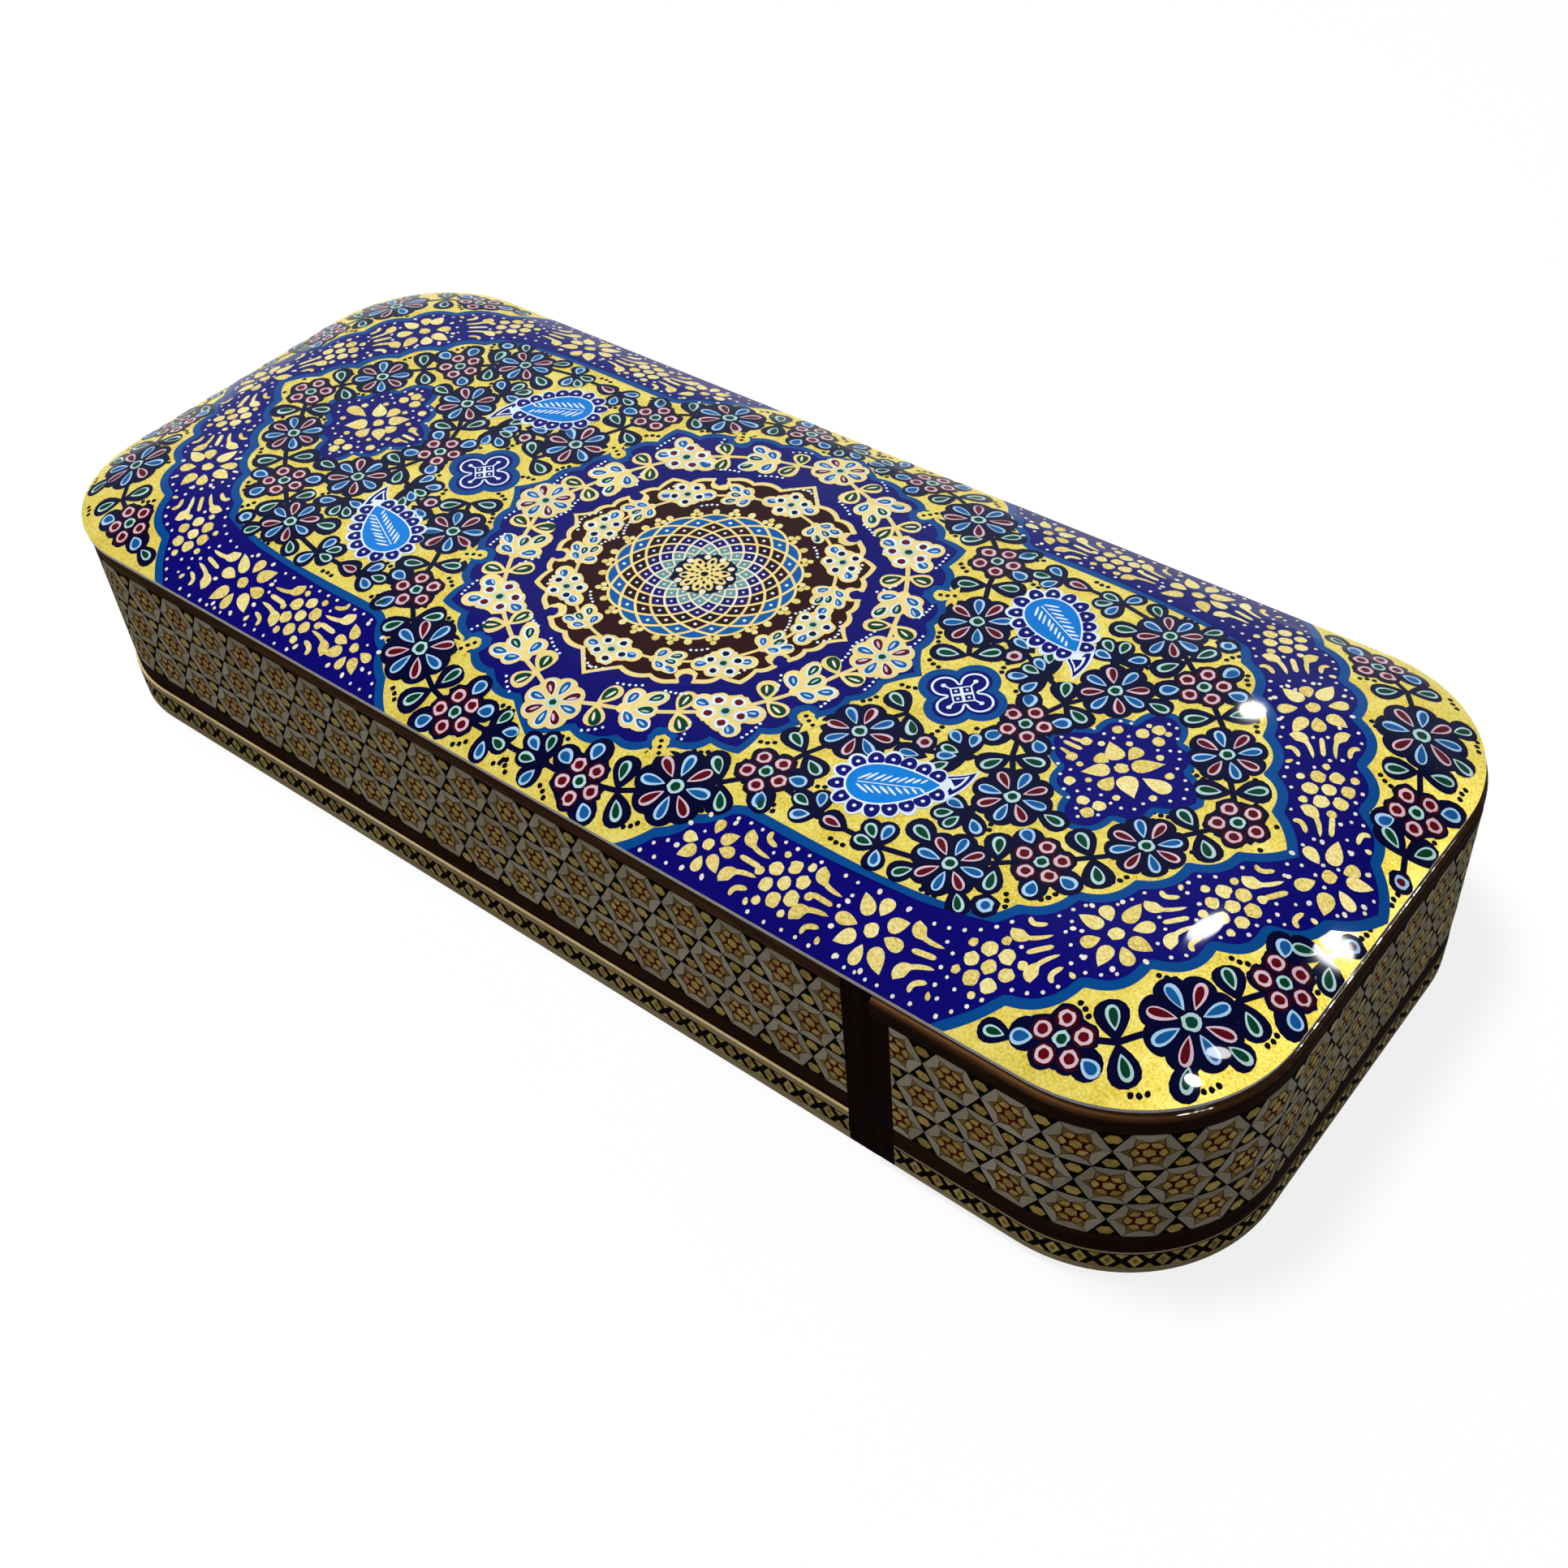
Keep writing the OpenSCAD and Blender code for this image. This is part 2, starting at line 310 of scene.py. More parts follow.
finishes["gold"] = makeFinish("paint_gold_ground", goldRecipe, lacquer)
finishes["goldDrop"] = makeFinish("paint_gold_drops", goldDropRecipe, lacquer)
finishes["gesso"] = makeFinish("gesso_edge", tileRecipe((228, 225, 234), (250, 248, 254), 700), lacquer)
finishes["walnutRim"] = makeFinish("walnut_rim", rimRecipe, rimLacquer)
finishes["plainWood"] = makeFinish("plain_wood", woodRecipe(*plainTones, alongX), plainGloss)
finishes["felt"] = makeFinish("felt", feltRecipe, feltSheen)
print("finishes made:", len(finishes))


# Meshes
def makePiece(name, points, faces, finish, body, normals=None, tones=None):
    # whole arrays put into one mesh at the origin, in metres
    mesh = bpy.data.meshes.new(name)
    mesh.vertices.add(len(points))
    mesh.vertices.foreach_set("co", (points * mm).astype(np.float32).ravel())
    sides = faces.shape[1]
    mesh.loops.add(faces.size)
    mesh.loops.foreach_set("vertex_index", faces.astype(np.int32).ravel())
    mesh.polygons.add(len(faces))
    mesh.polygons.foreach_set("loop_start", np.arange(0, faces.size, sides, dtype=np.int32))
    mesh.update(calc_edges=True)
    mesh.validate()
    if tones is not None:
        mesh.attributes.new("tone", "FLOAT", "POINT").data.foreach_set("value", tones.astype(np.float32))
    if normals is not None:
        mesh.normals_split_custom_set_from_vertices(normals.astype(np.float32))
    mesh.materials.append(finishes[finish])
    piece = bpy.data.objects.new(name, mesh)
    bpy.context.scene.collection.objects.link(piece)
    if body:
        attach(piece, body)
    return piece


def boxOf(node):
    # a CAD node's lowest and highest corner in millimetres
    low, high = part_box(node)
    return np.array(low) / mm, np.array(high) / mm


# The crown: level in the middle, then one circular arc down to the sheet's edge
sheetLow, sheetHigh = boxOf("painted_sheet")
sheetThick = sheetHigh[2] - boxOf("top_board")[1][2]
flatX = boxOf("tray_front_wall")[1][0]
cornerR = sheetHigh[0] - flatX
flatY = sheetHigh[1] - cornerR
crownDrop = sheetHigh[2] - sheetLow[2] - sheetThick
crownR = (cornerR**2 + crownDrop**2) / (2 * crownDrop)
flat = np.array([flatX, flatY])


def crownPlace(plan, lift):
    # way past the level middle, turned into a drop on the crown's circle, then lifted along the normal
    past = np.maximum(np.abs(plan) - flat, 0) * np.sign(plan)
    way = np.hypot(past[:, 0], past[:, 1])
    rise = np.sqrt(1 - (way / crownR) ** 2)
    normal = np.column_stack([past / crownR, rise])
    height = sheetHigh[2] - crownR * (1 - rise)
    return np.column_stack([plan, height]) + normal * np.reshape(lift, (-1, 1)), normal


def keepOn(plan, margin=0.01):
    # points past the sheet's edge are drawn back to it, along the line to the corner's centre
    past = np.maximum(np.abs(plan) - flat, 0) * np.sign(plan)
    way = np.hypot(past[:, 0], past[:, 1])
    share = np.minimum(1, (cornerR - margin) / np.maximum(way, 1e-9))
    return plan - past * (1 - share[:, None])


# Shapes in plan; lifts in millimetres of the ground, of each level and of each thin slot in a level
coats = {"step": 0.018, "ground": 0.012, "apart": 0.0013, "turns": 13}
dabs = {}
slots = {}


def freeSlot(level, plan):
    # the lowest thin slot of a level that no dab whose box meets this one's box has
    low, high = plan.min(0), plan.max(0)
    known = slots.get(level, np.zeros((0, 5)))
    meets = (known[:, :2] < high).all(1) & (known[:, 2:4] > low).all(1)
    free = np.setdiff1d(np.arange(coats["turns"]), known[meets, 4])
    slot = free[0] if len(free) else len(known) % coats["turns"]
    slots[level] = np.vstack([known, [*low, *high, slot]])
    return slot


def lay(colour, level, patch):
    # keeps one dab, its faces turned upwards, a hair above the ones that it meets
    plan, faces = patch
    plan = keepOn(plan)
    a, b, c = (plan[faces[:, k]] for k in range(3))
    area = (b[:, 0] - a[:, 0]) * (c[:, 1] - a[:, 1]) - (b[:, 1] - a[:, 1]) * (c[:, 0] - a[:, 0])
    faces = np.where(area[:, None] < 0, faces[:, ::-1], faces)[np.abs(area) > 1e-5]
    heap = dabs.setdefault(colour, [])
    lift = coats["ground"] + coats["step"] * level + coats["apart"] * freeSlot(level, plan)
    heap.append((plan, faces, np.full(len(plan), lift), np.full(len(plan), rng.random())))


def gridFaces(rows, columns):
    # two triangles for each cell of a grid of points
    corner = (np.arange(rows - 1)[:, None] * columns + np.arange(columns - 1)).ravel()
    first = np.column_stack([corner, corner + 1, corner + columns + 1])
    second = np.column_stack([corner, corner + columns + 1, corner + columns])
    return np.concatenate([first, second])


def ringFaces(rings, count):
    # two triangles for each cell between rings of points that close on themselves
    here = np.arange(count)
    base = count * np.arange(rings - 1)[:, None]
    a, b = (base + here).ravel(), (base + np.roll(here, -1)).ravel()
    first = np.column_stack([a, a + count, b + count])
    second = np.column_stack([a, b + count, b])
    return np.concatenate([first, second])


def joined(parts):
    # the arrays of many small parts end to end, with each part's faces counted on
    shift = np.cumsum([0] + [len(part[0]) for part in parts[:-1]])
    faces = np.concatenate([part[1] + start for part, start in zip(parts, shift)])
    points, third, fourth = (np.concatenate([part[j] for part in parts]) for j in (0, 2, 3))
    return points, faces, third, fourth


def polar(spin, reach):
    # radius and angle to plan points
    return np.column_stack([reach * np.cos(spin), reach * np.sin(spin)])


def beyond(x, y, angle, far):
    # the point at a distance from another in a direction
    return x + far * math.cos(angle), y + far * math.sin(angle)


def onCircle(degrees, radius):
    # the plan point at an angle in degrees and a distance from the middle
    return beyond(0, 0, math.radians(degrees), radius)


def mirrored(angle, sx, sy):
    # a direction after the plan is mirrored across one axis or both
    return math.atan2(sy * math.sin(angle), sx * math.cos(angle))


def strip(left, right, rows=1):
    # straight lines from one edge to the other, point for point
    share = np.linspace(0, 1, rows + 1)[:, None, None]
    grid = left + share * (right - left)
    return grid.reshape(-1, 2), gridFaces(rows + 1, len(left))


def fan(outline, rings=None):
    # one outline drawn in towards its middle ring by ring, the last ring closed by a fan
    middle = outline.mean(0)
    if rings is None:
        count = int(np.ceil(np.linalg.norm(outline - middle, axis=1).max() / 1.7))
        rings = np.arange(1, count + 1) / count
    count = len(outline)
    shares = np.asarray(rings)[:, None, None]
    points = np.concatenate([middle[None], (middle + shares * (outline - middle)).reshape(-1, 2)])
    here = 1 + np.arange(count)
    core = np.column_stack([np.zeros(count, int), here, np.roll(here, -1)])
    return points, np.concatenate([core, 1 + ringFaces(len(rings), count)])


def ribbon(path, half, rows=1):
    # a line with width: the path moved to both sides along its normal
    ahead = np.gradient(path, axis=0)
    ahead /= np.linalg.norm(ahead, axis=1)[:, None] + 1e-9
    side = np.column_stack([ahead[:, 1], -ahead[:, 0]]) * np.reshape(half, (-1, 1))
    return strip(path + side, path - side, rows)


def scallops(points, bulges, steps=10):
    # a curve through the points: each stretch is a shallow arc, bulging right by a share of its chord
    points = np.asarray(points, float)
    step = np.diff(points, axis=0)[:, None]
    share = np.linspace(0, 1, steps, endpoint=False)[:, None]
    right = np.stack([step[..., 1], -step[..., 0]], -1)
    lean = right * np.reshape(bulges, (-1, 1, 1))
    arcs = points[:-1, None] + step * share + lean * 4 * share * (1 - share)
    return np.concatenate([arcs.reshape(-1, 2), points[-1:]])


def spun(shape, x, y, angle, start=0.0):
    # a shape drawn along +X, moved out by start, turned and put at a point
    c, s = math.cos(angle), math.sin(angle)
    out = shape[:, 0] + start
    return np.column_stack([x + c * out - s * shape[:, 1], y + s * out + c * shape[:, 1]])


def dropShape(length, half, narrow, count=16):
    # an egg with a drawn-out neck: the sine of the turn times a power of the way along
    turn = np.linspace(0, 2 * np.pi, count, endpoint=False)
    way = (1 - np.cos(turn)) / 2
    wide = np.sin(turn) * np.maximum(way, 1e-6) ** narrow
    return np.column_stack([length * way, half * wide / np.abs(wide).max()])


def drop(colour, level, x, y, angle, start, length, half, narrow=0.7, shake=1.0):
    # one touch of the brush, a little uneven in length, width and direction
    uneven = 1 + 0.05 * shake * rng.standard_normal(2)
    shape = dropShape(length * uneven[0], half * uneven[1], narrow)
    lay(colour, level, fan(spun(shape, x, y, angle + 0.04 * shake * rng.standard_normal(), start)))


def dot(colour, level, x, y, radius, count=10):
    # a round spot, slightly out of true
    turn = np.linspace(0, 2 * np.pi, count, endpoint=False) + rng.random()
    reach = radius * (1 + 0.06 * rng.standard_normal(count))
    lay(colour, level, fan(polar(turn, reach) + (x, y)))


# Motifs, each with its ground colour (navy on gold, cream in the medallion), in shares of their size
flowerLook = {  # a petal's start, length and half width, then half width and inset of its fill
    "navy": (0.27, 0.65, 0.15, 0.09, 0.072), "cream": (0.25, 0.7, 0.182, 0.145, 0.05),
}
clusterLook = {  # inset, length and half width of a drop's fill, then its bed, a berry's bed and its ring
    "navy": (3.5, 2.4, 0.82, 2.45, 2.3, 1.3), "cream": (3.6, 2.6, 0.92, 2.15, 2.0, 1.36),
}
sprayLook = {  # inset, length and half width of a drop's fill, then its bed
    "navy": (1.15, 2.35, 0.62, 1.95), "cream": (1.25, 2.6, 0.74, 1.7),
}
kinds = {"b": ("petalBlue", "pale"), "g": ("green", "mint"), "r": ("petalRed", "pink")}  # fill and edge


def flower(x, y, size, turn, ground="navy", base=2, first=0):
    # eight drops in a ring, red and blue by turns, on a lobed ground
    dark = ground == "navy"
    start, long, wide, thin, inner = flowerLook[ground]
    spin = np.linspace(0, 2 * np.pi, 128, endpoint=False)
    reach = size * (0.9 + 0.16 * np.abs(np.cos(4 * (spin - turn))) ** 0.55)
    lay(ground, base, fan(polar(spin, reach) + (x, y)))
    for k in range(8):
        angle = turn + k * math.pi / 4 + 0.03 * rng.standard_normal()
        fill, rim = kinds["rb"[(k + first) % 2]]
        edge = rim if dark else "white"
        heart = (start + inner) * size, (long - 1.8 * inner) * size, thin * size
        drop(edge, base + 1, x, y, angle, start * size, long * size, wide * size, 0.5, 0.4)
        drop(fill, base + 2, x, y, angle, *heart, 0.45, 0.4)
        if not dark:
            drop(rim, base + 3, x, y, angle, 0.45 * size, 0.32 * size, 0.045 * size, 0.1)
    dot("mint", base + 2, x, y, 0.205 * size, 14)
    dot("green", base + 3, x, y, 0.125 * size, 12)


def cluster(x, y, turn, drops, size=1.0, ground="navy", base=2, seeds=("pink", "berryRed"), out=8.1):
    # five ringed berries round a green one, with drops pointing out between them
    dark = ground == "navy"
    dot(ground, base, x, y, 4.4 * size, 24)
    inner, long, wide, pad, bed, ring = clusterLook[ground]
    edge = "pale" if dark else "white"
    for nominal in drops:
        angle = nominal + 0.03 * rng.standard_normal()
        drop(ground, base, x, y, angle, 1.5 * size, (out - 1.3) * size, pad * size, 0.2)
        drop(edge, base + 1, x, y, angle, (out - 4.0) * size, 3.3 * size, 1.25 * size, 0.3, 0.4)
        drop("petalBlue", base + 2, x, y, angle, (out - inner) * size, long * size, wide * size, 0.3, 0.4)
        if not dark:
            drop("pale", base + 3, x, y, angle, (out - 2.9) * size, 1.5 * size, 0.24 * size, 0.1)
    for k in range(5):
        angle = turn + k * 2 * math.pi / 5
        bx, by = beyond(x, y, angle, 3.15 * size)
        dot(ground, base, bx, by, bed * size, 18)
        if dark:
            dot("berryDark", base + 1, bx, by, 1.72 * size, 14)
        dot(seeds[0], base + 2, bx, by, ring * size, 14)
        dot(seeds[1], base + 3, bx, by, 0.8 * size, 12)
    dot("mint", base + 2, x, y, 1.22 * size, 14)
    dot("green", base + 3, x, y, 0.76 * size, 12)


def leaf(x, y, angle, length=6.5, ground="navy", base=2, kind="g"):
    # a dark drop, a pale drop inside it and a coloured heart
    fill, rim = kinds[kind]
    angle = angle + 0.03 * rng.standard_normal()
    drop(ground, base, x, y, angle, 0.0, length, 0.375 * length, 0.5)
    if ground == "navy":
        drop(rim, base + 1, x, y, angle, 0.26 * length, 0.61 * length, 0.165 * length, 0.4, 0.4)
        drop(fill, base + 2, x, y, angle, 0.33 * length, 0.47 * length, 0.1 * length, 0.35, 0.4)
    else:
        drop(fill, base + 1, x, y, angle, 0.2 * length, 0.7 * length, 0.22 * length, 0.35)
        drop("ivory", base + 2, x, y, angle, 0.36 * length, 0.42 * length, 0.05 * length, 0.2)


def spray(x, y, angles, petals, size=1.0, ground="navy", base=2):
    # drops fanned from one point, each with its own distance and colour
    dark = ground == "navy"
    inner, long, wide, pad = sprayLook[ground]
    for nominal, (_, far, kind) in zip(angles, petals):
        fill, rim = kinds[kind]
        angle = nominal + 0.03 * rng.standard_normal()
        edge = rim if dark else "white"
        drop(ground, base, x, y, angle, 0.0, (far + 2.25) * size, pad * size, 0.3)
        drop(edge, base + 1, x, y, angle, (far - 1.65) * size, 3.3 * size, 1.0 * size, 0.35, 0.4)
        drop(fill, base + 2, x, y, angle, (far - inner) * size, long * size, wide * size, 0.3, 0.4)
        if not dark:
            drop(rim, base + 3, x, y, angle, (far - 0.6) * size, 1.4 * size, 0.19 * size, 0.1)
    dot(ground, base, x, y, 1.1 * size)


def stem(points, half=0.5, ground="navy", base=2):
    # a bent line through its points
    points = np.asarray(points, float)
    share = np.linspace(0, len(points) - 1, 12 * (len(points) - 1) + 1)
    path = np.column_stack([np.interp(share, np.arange(len(points)), points[:, k]) for k in range(2)])
    lay(ground, base, ribbon(path, half))


def dotRow(x, y, angle, count=3, apart=1.2, radius=0.47, colour="black", base=2, bend=0.12):
    # dots on a shallow arc
    way = (np.arange(count) - (count - 1) / 2) * apart
    line = np.column_stack([way, bend * way**2])
    for px, py in spun(line, x, y, angle):
        dot(colour, base, px, py, radius, 8)


mirrors = [(1, 1), (-1, 1), (1, -1), (-1, -1)]


def around(x, y, angles=()):
    # the four mirror copies of a point and its directions, or two where it lies on the long axis
    for sx, sy in mirrors[:2] if abs(y) < 1e-6 else mirrors:
        yield sx * x, sy * y, [mirrored(angle, sx, sy) for angle in np.radians(angles)]


# Gold field: what stands where in one quarter, mirrored to the others (x, y, directions in degrees)
field = {
    "flowers": [
        (48.4, -17.0, 6.6, 12, 0), (77.4, -15.2, 6.4, 8, 1), (100.1, -12.3, 6.2, 0, 0),
        (77.6, -32.5, 6.2, 8, 1), (30.4, -43.1, 7.1, 10, 1), (122.2, -36.2, 7.2, 20, 0),
    ],
    "clusters": [
        (69.7, 0.0, 20, (118, 38, -38, -118)), (88.9, -24.3, 108, (142, -12, -72)), (108.9, 0.0, 0, ()),
        (41.5, -33.1, 62, (10, -60)), (14.9, -50.0, 60, (97, 155, -42)), (108.5, -48.7, 36, (205, -12)),
        (128.8, -21.1, 70, (118, -48)),
    ],
    "pairs": [
        (52.3, -8.7, 157, -43), (44.3, -26.3, 153, -27), (36.5, -38.8, 140, -52),
        (21.9, -48.4, 110, -52), (72.2, -7.5, 15, -117), (94.7, -19.1, 141, -47),
        (83.5, -28.4, 122, -69), (105.1, -5.2, 153, -42), (125.6, -28.6, 144, -27),
        (115.4, -45.0, 131, -45), (131.4, -12.2, -150, -62),
    ],
    "leaves": [
        (102.4, -51.8, 190, 5.4, "g"), (82.0, -15.6, -4, 6.2, "g"), (74.0, -31.0, 160, 6.6, "g"),
        (74.4, -35.4, -137, 5.6, "g"), (80.8, -35.6, -48, 5.6, "g"), (126.4, -36.0, 8, 6.2, "g"),
        (124.6, -40.4, -64, 6.2, "g"), (43.4, -36.2, -55, 5.0, "g"), (61.2, -15.6, 196, 5.8, "b"),
        (60.4, -35.9, 178, 5.8, "r"),
    ],
    "sprays": [
        (66.3, -11.7, [(150, 4.9, "b"), (108, 3.8, "b"), (182, 3.3, "g"), (214, 3.4, "b"),
                       (242, 5.0, "g")]),
        (73.5, -21.7, [(180, 2.6, "b"), (222, 4.0, "g"), (258, 3.6, "g"), (-38, 3.6, "b")]),
        (66.2, -35.9, [(140, 3.4, "g"), (95, 3.0, "b"), (186, 2.6, "g"), (-65, 2.2, "b")]),
        (54.3, -35.6, [(165, 4.2, "g"), (120, 3.0, "b"), (208, 3.0, "b")]),
        (6.7, -50.2, [(154, 4.4, "b"), (112, 3.6, "g"), (192, 3.4, "g"), (-108, 3.4, "b")]),
    ],
    "buds": [
        (133.0, -7.9, "pale", "petalRed", 1.0), (86.7, -36.2, "pale", "petalBlue", 1.1),
        (58.7, -13.0, "pink", "petalRed", 1.1),
    ],
    "stems": [
        [(52.3, -8.7), (50.0, -12.5)], [(46.6, -21.5), (44.3, -26.3), (43.2, -30)],
        [(39.5, -36), (36.5, -38.8), (33.4, -41)], [(26.5, -46), (21.9, -48.4), (17.5, -49.4)],
        [(70.5, -3), (72.2, -7.5), (75, -11.5)], [(98.5, -15.5), (94.7, -19.1), (90.5, -23)],
        [(86.5, -26), (83.5, -28.4), (79.5, -31.5)], [(102.5, -8.5), (105.1, -5.2), (107.5, -2)],
        [(125, -33), (125.6, -28.6), (128, -24)], [(119.5, -39.5), (115.4, -45.0), (110.5, -47.5)],
        [(131, -17), (131.4, -12.2), (132.8, -8.8)], [(11, -50.2), (6.7, -50.2), (0, -50.6)],
        [(75, -34), (66.8, -35.7), (57.4, -35.9), (53.7, -35.4), (45, -34)],
        [(53, -15.8), (58.4, -15.4), (66.5, -11.5), (69.5, -10.5)], [(75.5, -18), (73.1, -21.4)],
    ],
    "dots": [
        (98.5, -5.4, 12), (107.6, -9.2, 20), (100.6, -20.7, 60), (93.8, -29.8, 60), (88.9, -33.7, 120),
        (78.0, -39.0, 0), (78.1, -22.2, 120), (65.0, -5.2, 20), (110.4, -4.4, 20), (133.6, -4.4, 85),
        (133.0, -17.4, 100), (122.3, -22.9, 20), (132.3, -30.4, 85), (115.8, -32.4, 25),
        (109.0, -43.2, 150), (121.9, -49.4, 40), (129.4, -42.4, 60), (48.5, -3.6, 15), (58.9, -9.6, 80),
        (45.1, -9.8, 60), (39.4, -20.2, 120), (37.6, -27.9, 30), (50.6, -31.1, 20), (60.1, -38.6, 0),
        (46.9, -37.9, 130), (29.6, -35.6, 25), (21.7, -39.1, 100), (37.3, -44.6, 75), (6.4, -44.9, 0),
        (28.2, -52.2, 40), (0.6, -53.6, 140), (10.0, -54.2, 145), (114.6, 4.0, 70), (98.0, -7.0, 150),
    ],
}


def paintField():
    # every motif at its place, with its mirror copies
    for points in field["stems"]:
        for sx, sy in mirrors:
            stem(np.asarray(points) * (sx, sy))
    for x, y, size, turn, first in field["flowers"]:
        for px, py, (angle,) in around(x, y, (turn,)):
            flower(px, py, size, angle, first=first)
    for x, y, turn, drops in field["clusters"]:
        for px, py, angles in around(x, y, (turn, *drops)):
            cluster(px, py, angles[0], angles[1:])
    for x, y, *turns in field["pairs"]:
        for px, py, angles in around(x, y, turns):
            for angle in angles:
                leaf(px, py, angle)
    for x, y, turn, length, kind in field["leaves"]:
        for px, py, (angle,) in around(x, y, (turn,)):
            leaf(px, py, angle, length, kind=kind)
    for x, y, petals in field["sprays"]:
        for px, py, angles in around(x, y, [petal[0] for petal in petals]):
            spray(px, py, angles, petals)
    for x, y, rim, fill, size in field["buds"]:
        for px, py, _ in around(x, y):
            dot("navy", 2, px, py, 2.0 * size, 14)
            dot(rim, 3, px, py, 1.2 * size, 12)
            dot(fill, 4, px, py, 0.68 * size, 10)
    for x, y, turn in field["dots"]:
        for px, py, (angle,) in around(x, y, (turn,)):
            dotRow(px, py, angle, radius=0.5, base=0.6)


# Medallion: cusps of its two outlines as (degrees, radius, bulge of the stretch before), one quarter
medallion = {
    "ring": [
        (0, 48.8, 0), (7.0, 45.1, -0.04), (15.6, 44.3, 0.17), (23.2, 44.7, 0.16), (29.6, 44.7, 0),
        (37.2, 44.3, 0.16), (42.8, 47.9, 0.06), (48.2, 44.5, 0.06), (55.8, 44.8, 0.16), (62.2, 44.8, 0),
        (69.8, 44.1, 0.16), (81.2, 43.8, 0.16), (90, 47.6, 0.02),
    ],
    "heart": [
        (0, 32.9, 0), (5.0, 30.4, -0.04), (12.2, 29.4, 0.18), (18.6, 29.8, 0.14), (26.2, 29.8, 0),
        (31.6, 29.3, 0.12), (38.0, 31.3, 0.06), (44.0, 28.9, 0.06), (50.8, 29.8, 0.14), (61.0, 29.8, 0),
        (69.0, 28.8, 0.15), (80.8, 28.6, 0.16), (90, 32.8, 0.0),
    ],
    "sky": 1.6, "line": 1.05, "tabs": (26.4, 59.2), "tabAt": 43.5, "notches": (22.3, 56.0),
    "notchAt": 28.5,
    "stem": (
        [0, 7, 12, 20, 33, 45, 57, 70, 79, 84, 90],
        [40.3, 38.6, 37.8, 37.2, 36.9, 37.0, 36.8, 37.0, 37.4, 38.2, 39.8],
    ),
    "pairs": [(12.0, 37.8), (33.0, 36.9), (56.8, 36.8), (79.2, 37.3)],
    "petals": [(55, 2.1, "b"), (-72, 2.4, "b"), (33, 4.7, "b"), (-6, 3.6, "g"), (-34, 5.4, "g")],
    "sprays": [(24.8, 36.9), (71.5, 36.9)],
    "small": [(45, 2.2, "b"), (26, 4.9, "b"), (0, 3.7, "g"), (-62, 2.2, "b"), (-27, 4.8, "g")],
    "rows": [
        ((17, 41.2), (22, 42.5), 5), ((36.6, 42.0), (41.4, 44.4), 5), ((53, 39.4), (54.6, 43.1), 4),
        ((74, 41.7), (78.5, 43.2), 4), ((6.5, 43.0), (11.0, 43.7), 4), ((1, 34.4), (7.5, 35.5), 5),
        ((25.2, 32.0), (28.8, 35.0), 4), ((55, 32.4), (61.5, 31.8), 5), ((69.5, 31.1), (77.5, 31.9), 5),
        ((33, 27.5), (39.5, 28.7), 4), ((83.5, 29.3), (90.5, 30.6), 4), ((2, 20.7), (10, 22.4), 5),
        ((0.8, 30.4), (6.4, 28.9), 4), ((48, 20.9), (56, 21.0), 4),
    ],
    "lattice": {"arms": 16, "outer": 17.2, "inner": 5.6, "step": 1.6},
}
latticeRows = ["latticeBlue", "maroon", "plum", "purple", "indigo", "teal", "teal"]


def polarOutline(cusps, count=1440):
    # a quarter is drawn, folded out to the other three and read as radius against angle
    cusps = np.asarray(cusps, float)
    turn = np.radians(cusps[:, 0])
    quarter = scallops(polar(turn, cusps[:, 1]), cusps[1:, 2], 14)
    angle = np.arctan2(quarter[:, 1], quarter[:, 0])
    reach = np.hypot(quarter[:, 0], quarter[:, 1])
    spin = np.linspace(0, 2 * np.pi, count + 1)
    order = np.argsort(angle)
    return spin, np.interp(np.arccos(np.abs(np.cos(spin))), angle[order], reach[order])


def quarters(degrees):
    # an angle of one quarter folded out to all four, with the hand it grows by
    for half in (0, 180):
        yield half + degrees, 1
        yield half - degrees, -1


def facing(degrees, hand, lean):
    # a direction by its lean: 0 points along the ring to the long axis, 90 straight out
    return math.radians(degrees - hand * (90 - lean))


def keyhole(degrees, radius, size, edge, inside, level, out):
    # a small round bay with a neck that flares to the outside, and a line round it
    x, y = onCircle(degrees, radius)
    angle = math.radians(degrees)
    way = np.array([[0.0, 0.0], [0.5 * out, 0.0], [out, 0.0]])
    dot(edge[0], level, *onCircle(degrees, radius - 0.7), size + edge[1] - 0.25, 24)
    lay(inside, level + 1, ribbon(spun(way, x, y, angle), size * np.array([0.7, 0.85, 1.9])))
    dot(inside, level + 1, x, y, size, 20)


